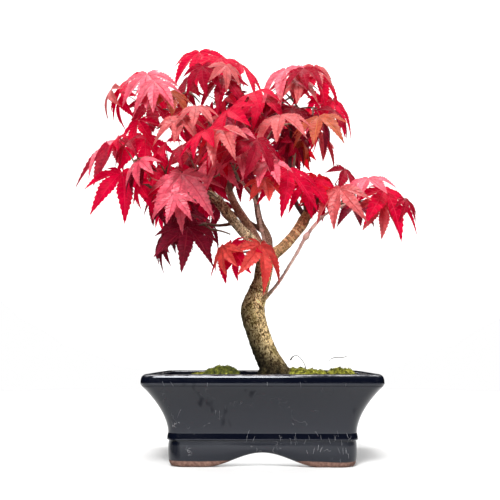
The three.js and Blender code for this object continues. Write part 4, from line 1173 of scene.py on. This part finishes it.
def make_moss():
    """Each cushion is a low mound under a pile of short pointed shoots."""
    materials = {tone: plain_material(f"moss_{tone}", stops, 330.0, 0.9)
                 for tone, stops in MOSS_TONES.items()}
    for moss in MOSS:
        random = seeded_random(MOSS_SEED + moss["seed"])
        middle = np.array([moss["x"], moss["y"], 0.0])
        top = tuple(range((MOSS_RINGS - 1) * MOSS_SIDES, MOSS_RINGS * MOSS_SIDES))
        mound = Batch()
        mound.add([cushion_place(moss, turn, 1 - ring / MOSS_RINGS, MOUND_SINK)
                   for ring in range(MOSS_RINGS) for turn in circle(MOSS_SIDES)],
                  ring_faces(MOSS_RINGS, MOSS_SIDES) + [top])
        for _ in range(int(SHOOTS * moss["length"] * moss["width"])):
            turn, spread = random() * 2 * math.pi, math.sqrt(random())
            foot = cushion_place(moss, turn, SHOOT_REACH * spread, SHOOT_SINK)
            lean = np.array([random() - 0.5, random() - 0.5, SHOOT_UPRIGHT])
            lean = unit(lean + SHOOT_OUTWARD * unit((foot - middle) * (1, 1, 0)))
            tall = SHOOT_HEIGHT[0] + SHOOT_HEIGHT[1] * random() ** 2
            wide = drawn(SHOOT_WIDTH, random)
            swing = random() * 2 * math.pi
            corners = [swing + k * SHOOT_CORNER for k in range(3)]
            base = [foot + wide * np.array([math.cos(turn), math.sin(turn), 0]) for turn in corners]
            mound.add([*base, foot + lean * tall], [(0, 1, 3), (1, 2, 3), (2, 0, 3)])
        piece = mound.build("tuft_" + moss["name"], materials[moss["tone"]], "moss", smooth=False)
        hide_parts(moss["name"])


def make_stalks():
    """Two dry stalks that stand in the moss on the right."""
    dry = plain_material("dry_stalk", [(0.3, (0.03, 0.028, 0.022)), (0.7, (0.10, 0.09, 0.07))], 120.0, 0.8)
    stalks = Batch()
    for route, radii in STALKS:
        stalks.add(*swept(Route(route), radii, DRY_STEPS, THIN_SIDES))
    stalks.build("dry_stalks", dry, "moss")


# Trunk and boughs

def make_wood():
    """Trunk, boughs and root flare grown into one skin with the bark's relief."""
    rough = Batch()
    for limb in LIMBS:
        rough.add(*swept(CURVES[limb["name"]], limb["radii"], LIMB_RINGS * limb["steps"], LIMB_SIDES))
    foot = np.array(LIMBS[0]["route"][1], dtype=float)
    for index, degrees in enumerate(FLARE_TURNS):
        way = np.array([math.cos(math.radians(degrees)), math.sin(math.radians(degrees)), 0])
        turns = [foot + UP * lift + way * out for lift, out in zip(FLARE_LIFTS, FLARE_SPREADS[index % 2])]
        rough.add(*swept(Route(turns), FLARE_RADII, FLARE_STEPS, FLARE_SIDES))
    wood = rough.build("wood", bark_material(), "bark")
    remesh = wood.modifiers.new("Join", "REMESH")
    remesh.mode = "VOXEL"
    remesh.voxel_size = WOOD_VOXEL * MM
    remesh.use_smooth_shade = True
    ease = wood.modifiers.new("Ease", "SMOOTH")
    ease.factor, ease.iterations = WOOD_EASE
    bpy.context.view_layer.update()
    skin = bpy.data.meshes.new_from_object(wood.evaluated_get(bpy.context.evaluated_depsgraph_get()))
    wood.modifiers.clear()
    wood.data = skin
    relieve(skin)
    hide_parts(*[limb["name"] for limb in LIMBS])


def bark_relief(spot):
    """Depth of the bark in millimetres: plates between cracks that run round and along the limb."""
    point = Vector(spot * PLATES["scale"])
    plates = noise.noise(point * PLATES["coarse"]) + PLATES["share"] * noise.noise(point * PLATES["fine"])
    cracks = abs(noise.noise(Vector(spot * CRACKS["scale"]))) ** CRACKS["power"] - CRACKS["middle"]
    fibres = noise.noise(Vector(spot * FIBRES["scale"]))
    return PLATES["depth"] * plates + CRACKS["depth"] * cracks + FIBRES["depth"] * fibres


def nearest_limbs(local):
    """For each place on the skin, the limb that it belongs to and the share of its length."""
    owners = [(limb["name"], *place) for limb in LIMBS for place in stations(limb, OWNER_STEPS)]
    tree = kdtree.KDTree(len(owners))
    for index, (_, _, point, _) in enumerate(owners):
        tree.insert(point, index)
    tree.balance()
    found = []
    for row in local:
        _, index, _ = min(tree.find_n(row, NEAR_OWNERS), key=lambda hit: hit[2] - owners[hit[1]][3])
        found.append(owners[index][:2])
    return found


def relieve(mesh):
    """Pushes a skin's points in and out, with scars and knuckles, and gives each its tone, with painted shade
    on the left and painted light on the right.
    """
    count = len(mesh.vertices)
    points, normals = np.zeros(count * 3), np.zeros(count * 3)
    mesh.vertices.foreach_get("co", points)
    mesh.vertices.foreach_get("normal", normals)
    points, normals = points.reshape(-1, 3), normals.reshape(-1, 3)
    local = (points - POT_CENTRE) / MM
    heights = local[:, 2]
    strength = np.interp(heights, *RELIEF_BY_HEIGHT)
    depth = np.array([bark_relief(spot) for spot in local])
    tones = np.ones((count, 4))
    trunk_tone = np.array(LIMB_TONES["trunk"])
    for index, (name, share) in enumerate(nearest_limbs(local)):
        own = np.interp(share, TAKES_OVER[name], (0.0, 1.0)) if name in TAKES_OVER else 1.0
        tones[index] = own * np.array(LIMB_TONES.get(name, THIN_TONE)) + (1 - own) * trunk_tone
        depth[index] -= own * SLIMMED.get(name, 0.0) / strength[index]
        for limb, place, width, lift, glow in SCARS:
            if limb == name and abs(share - place) < width:
                ring = math.cos((share - place) / width * math.pi / 2)
                depth[index] += lift * ring
                tones[index, :3] *= 1 + (glow - 1) * ring
        for limb, start, roughness in KNUCKLES:
            if limb == name and share > start:
                strength[index] += roughness * min((share - start) / KNUCKLE_RUN, 1.0)
                tones[index, :3] *= KNUCKLE_SHADE
    points += normals * (depth * strength)[:, None] * MM
    mesh.vertices.foreach_set("co", points.ravel())
    # Painted shade on left-facing skin and painted light on right-facing skin, both darker towards the foot
    side = np.interp(normals[:, 0], *LIT_SHARE_BY_NORMAL)
    shade = np.interp(heights, *PAINTED_SHADE_SIDE) ** (1 - side) * np.interp(heights, *PAINTED_LIGHT_SIDE) ** side
    tones[:, :3] *= shade[:, None]
    layer = mesh.attributes.new("tone", "FLOAT_COLOR", "POINT")
    layer.data.foreach_set("color", tones.astype(np.float32).ravel())
    mesh.update()


# Leaves and twigs

def lobe_edges(turn):
    """The notches on the two sides of a lobe, as (turn from the lobe, reach)."""
    marks = [(sign * middle, reach) for middle, reach in NOTCHES for sign in (1, -1)]
    above = min(mark for mark in marks if mark[0] > turn)
    below = max(mark for mark in marks if mark[0] < turn)
    return [(above[0] - turn, above[1]), (below[0] - turn, below[1])]


def lobe_template(turn, reach, half_width):
    """A lobe as rows of (along, across) places in blade lengths, with uv; columns from edge to edge."""
    rows, uvs = [], []
    edges = [(r * math.cos(math.radians(a)), abs(r * math.sin(math.radians(a)))) for a, r in lobe_edges(turn)]
    notches = sorted(along for along, _ in edges)
    places = [share * notches[0] for share in SEAM_SHARES]
    places += sorted({round(notch, 4) for notch in notches})
    tooth_shares = [(k / LOBE_STATIONS) ** STATION_POWER for k in range(1, LOBE_STATIONS + 1)]
    places += [notches[1] + (reach - notches[1]) * share for share in tooth_shares]
    waist = WAIST * reach
    for k, along in enumerate(places):
        row = {}
        for side, (notch_along, notch_wide) in zip((1, -1), edges):
            shift = 0.0
            if along <= notch_along:
                wide = (notch_wide + SEAM_OVERLAP) * along / max(notch_along, 1e-6)
            else:
                if along < waist:
                    share = (along - notch_along) / (waist - notch_along)
                    wide = notch_wide + (half_width - notch_wide) * math.sin(share * math.pi / 2)
                else:
                    share = (along - waist) / (reach - waist)
                    wide = half_width * (1 - share) ** TIP_TAPER * (1 + TIP_SWELL * share)
                tooth = TOOTH * min(1.0, TOOTH_FADE * (reach - along))
                wide += tooth * (1 if k % 2 else -1)
                shift = TOOTH_SHIFT[k % 2]
            row[side] = (wide, shift)
        least = LEAST_WIDTH if k else 0.0
        for side, share in LOBE_COLUMNS:
            wide, shift = row[side]
            wide = 0.0 if k == len(places) - 1 else max(wide, least)
            rows.append((min(along + shift * share, reach), side * wide * share))
            uvs.append((side * share, along))
    return np.array(rows), np.array(uvs), len(places)


LOBE_TEMPLATES = [(turn, *lobe_template(turn, reach, width)) for turn, reach, width in LEAF_LOBES]


def leaf_mesh(leaf, random):
    """A blade with pleated, toothed and pointed lobes, set at the leaf's place."""
    size, cup, fold = leaf["size"], drawn(LOBE_CUP, random), drawn(LOBE_FOLD, random)
    blade = Batch()
    for turn, rows, uvs, levels in LOBE_TEMPLATES:
        free = np.clip((rows[:, 0] - LOBE_ROOT) / (1 - LOBE_ROOT), 0, 1)
        angle = np.radians(turn + TIP_JITTER * (2 * random() - 1) * free)
        along = rows[:, 0] + REACH_JITTER * (2 * random() - 1) * free
        curl = LOBE_CURL * (random() - 0.5)
        twist = LOBE_TWIST * (random() - 0.5)
        across = rows[:, 1]
        x = along * np.cos(angle) - across * np.sin(angle)
        y = along * np.sin(angle) + across * np.cos(angle)
        reach = np.hypot(x, y)
        sag = LEAF_ARCH * cup * reach ** 2 * (1 + LEAF_SIDE_ARCH * np.sin(np.arctan2(y, x)) ** 2)
        pleat = fold * np.abs(across) * (1 - FOLD_EASE * np.abs(uvs[:, 0]))
        lift = pleat - sag + (curl * free + twist * across) * free
        points = leaf["base"] + size * (np.outer(x, leaf["midrib"]) + np.outer(y, leaf["across"])
                                        + np.outer(lift, leaf["face"]))
        blade.add(points, ring_faces(levels, len(LOBE_COLUMNS), closed=False), uvs)
    return np.concatenate(blade.points), blade.faces, np.concatenate(blade.uvs)


def petiole_mesh(leaf):
    """A thin stalk, swollen at its foot, that bends under the blade into the middle vein."""
    node, base = leaf["node"], leaf["base"]
    way = base - node
    bend = node + way * STALK_BEND[0] + UP * STALK_BEND[1] * float(np.linalg.norm(way))
    curve = Arc(node, bend, base - leaf["face"] * STALK_UNDER[0])
    tip = base + leaf["midrib"] * STALK_GRIP * leaf["size"] - leaf["face"] * STALK_UNDER[1]
    return tube_mesh([*(curve.point(share) for share in STALK_SHARES), tip], STALK_RADII, THIN_SIDES)


def fine_offers(grown, placed):
    """Smaller leaves on short side shoots, only close beside leaves that are already there."""
    centres = np.array([leaf["centre"] for leaf in placed])
    for entry in grown:
        mass, twigs = entry["mass"], entry["twigs"]
        random = seeded_random(FINE_SEED + mass["seed"])
        entry["leaves"] = []
        for _ in range(FINE_LEAVES):
            twig = twigs[int(random() * len(twigs))]
            share = drawn(FINE_PLACE, random)
            fork, forward = twig.point_at(share), twig.tangent_at(share)
            side = turned(unit(cross(forward, UP)), forward, 360 * random())
            shoot_way = unit(forward + side * FINE_SPREAD + UP * FINE_RISE)
            node = fork + shoot_way * drawn(FINE_SHOOT, random)
            direction = unit(shoot_way + outward_from(node) * FINE_OUTWARD)
            offer = grow_leaf(node, direction, FINE_RANK, random, FINE_SIZE)
            offer["tint"] = mass["tints"][int(random() * len(mass["tints"]))]
            offer["poses"] = [{**pose, "fork": fork} for pose in offer["poses"]
                              if np.linalg.norm(centres - leaf_marks(pose)[1], axis=1).min() < FINE_REACH]
            entry["leaves"].append(offer)


def leaves_above(leaf, centres):
    """How many other leaves shade a leaf."""
    offsets = centres - leaf["centre"]
    near = np.hypot(offsets[:, 0], offsets[:, 1]) < SHADE_REACH
    return int((near & (offsets[:, 2] > SHADE_RISE)).sum())


def tint_of(leaf, centres, random):
    """A leading leaf has its spray's tint; of the others, the more shaded ones get a deeper tint as painted
    shade.
    """
    chance, choice = random(), random()
    if leaf["rank"] == 0 or chance > SHADE_SHARES[min(leaves_above(leaf, centres), len(SHADE_SHARES) - 1)]:
        return leaf["tint"]
    return PAINTED_SHADE_TINTS[int(choice * len(PAINTED_SHADE_TINTS))]


def make_foliage():
    """Twigs, leaf stalks and the leaves, a mesh for each tint."""
    samples = limb_samples()
    grown = [grow_mass(mass) for mass in MASSES]
    placed = keep_leaves(grown, samples, [], (0, 1, 2))
    fine_offers(grown, placed)
    placed = keep_leaves(grown, samples, placed, (FINE_RANK,))
    random = seeded_random(SHADE_SEED)
    centres = np.array([leaf["centre"] for leaf in placed])
    stems, stalks = Batch(), Batch()
    blades = {name: Batch() for name in LEAF_TINTS}
    for entry in grown:
        for index, twig in enumerate(entry["twigs"]):
            radii = TWIG_RADII if index else STEM_RADII
            steps = max(LEAST_TWIG_STEPS, int(twig.length() / TWIG_STEP))
            stems.add(*swept(twig, radii, steps, TWIG_SIDES))
    for leaf in placed:
        blades[tint_of(leaf, centres, random)].add(*leaf_mesh(leaf, random))
        stalks.add(*petiole_mesh(leaf))
        if "fork" in leaf:
            fork, node = leaf["fork"], leaf["node"]
            shoot = Arc(fork, (fork + node) / 2 + UP * FINE_BEND, node)
            steps = len(FINE_RADII) - 1
            places = [shoot.point(k / steps) for k in range(steps + 1)]
            stems.add(*tube_mesh(places, FINE_RADII, THIN_SIDES))
    twig_bark = plain_material("twig", [(0.3, (0.05, 0.03, 0.02)), (0.6, (0.24, 0.13, 0.08))], 200.0, 0.7)
    stems.build("twigs", twig_bark, "leaf")
    stalk_red = plain_material("stalk", [(0.3, (0.28, 0.02, 0.03)), (0.7, (0.5, 0.06, 0.05))], 90.0, 0.5)
    stalks.build("leaf_stalks", stalk_red, "leaf")
    tinted = [batch.build(f"leaves_{name}", leaf_material(name), "leaf") for name, batch in blades.items()]
    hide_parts(*[mass["name"] for mass in MASSES])


# Studio

def hoop(radius, height, sides):
    return [(radius * math.cos(turn), radius * math.sin(turn), height) for turn in circle(sides)]


def make_floor():
    """A pale floor that curves up into a wall behind the plant."""
    profile = [(FLOOR_FRONT, 0.0), (FLOOR_BACK, 0.0)]
    for step in range(1, COVE_STEPS + 1):
        swing = step / COVE_STEPS * math.pi / 2
        profile.append((FLOOR_BACK + COVE_RADIUS * math.sin(swing), COVE_RADIUS * (1 - math.cos(swing))))
    profile.append((FLOOR_BACK + COVE_RADIUS, WALL_TOP))
    points = [(x, y, z) for y, z in profile for x in (-FLOOR_HALF, FLOOR_HALF)]
    nodes = Nodes("floor")
    pale = nodes.finished(nodes.surface(Base_Color=FLOOR_TONE, Roughness=0.9))
    floor = new_mesh("floor", points, ring_faces(len(profile), 2, closed=False), pale, smooth=True)
    floor.visible_diffuse = False


def make_dim_room():
    """A low dark wall round the set, seen only in reflections, as a dim room is in glaze."""
    points = [point for z in (ROOM["foot"], ROOM["top"]) for point in hoop(ROOM["radius"], z, ROOM["sides"])]
    nodes = Nodes("dim_room")
    dark = nodes.finished(nodes.surface(Base_Color=ROOM["tone"], Roughness=1.0, Specular_IOR_Level=0.0))
    room = new_mesh("dim_room", points, ring_faces(2, ROOM["sides"]), dark, smooth=False)
    room.visible_camera = False
    room.visible_diffuse = False
    room.visible_shadow = False
    room.visible_transmission = False


def make_backdrop():
    """A white bowl round the set that only the camera sees, so that every view has the same plain ground."""
    points = []
    for level in range(BOWL["levels"] + 1):
        swing = level / BOWL["levels"] * math.pi / 2
        radius = BOWL["radius"] + BOWL["spread"] * math.sin(swing)
        points += hoop(radius, BOWL["lift"] + BOWL["height"] * (1 - math.cos(swing)), BOWL["sides"])
    nodes = Nodes("backdrop")
    white = nodes.finished(nodes.add("Emission", {})[0])
    bowl = new_mesh("backdrop", points, ring_faces(BOWL["levels"] + 1, BOWL["sides"]), white, smooth=False)
    bowl.visible_diffuse = False
    bowl.visible_glossy = False
    bowl.visible_shadow = False
    bowl.visible_transmission = False


def make_lights():
    world = bpy.data.worlds.new("studio")
    bpy.context.scene.world = world
    world.use_nodes = True
    background = world.node_tree.nodes["Background"]
    background.inputs["Color"].default_value = (1, 1, 1, 1)
    background.inputs["Strength"].default_value = WORLD_LIGHT
    for name, where, target, size, power in LAMPS:
        data = bpy.data.lights.new(name, "AREA")
        data.shape = "RECTANGLE"
        data.size, data.size_y = size
        data.energy = power
        lamp = link(name, data)
        lamp.location = where
        lamp.rotation_euler = (Vector(target) - Vector(where)).to_track_quat("-Z", "Y").to_euler()
    bpy.context.scene.view_settings.view_transform = "Standard"


def make_camera():
    data = bpy.data.cameras.new("camera")
    data.lens = CAMERA_LENS
    data.sensor_width = CAMERA_SENSOR
    camera = link("camera", data)
    camera.location = place(CAMERA_PLACE)
    camera.rotation_euler = (math.radians(90 + CAMERA_PITCH), 0, math.radians(CAMERA_YAW))
    bpy.context.scene.camera = camera


make_pot()
make_scratches()
make_soil()
make_moss()
make_stalks()
make_wood()
make_foliage()
make_floor()
make_dim_room()
make_backdrop()
make_lights()
make_camera()
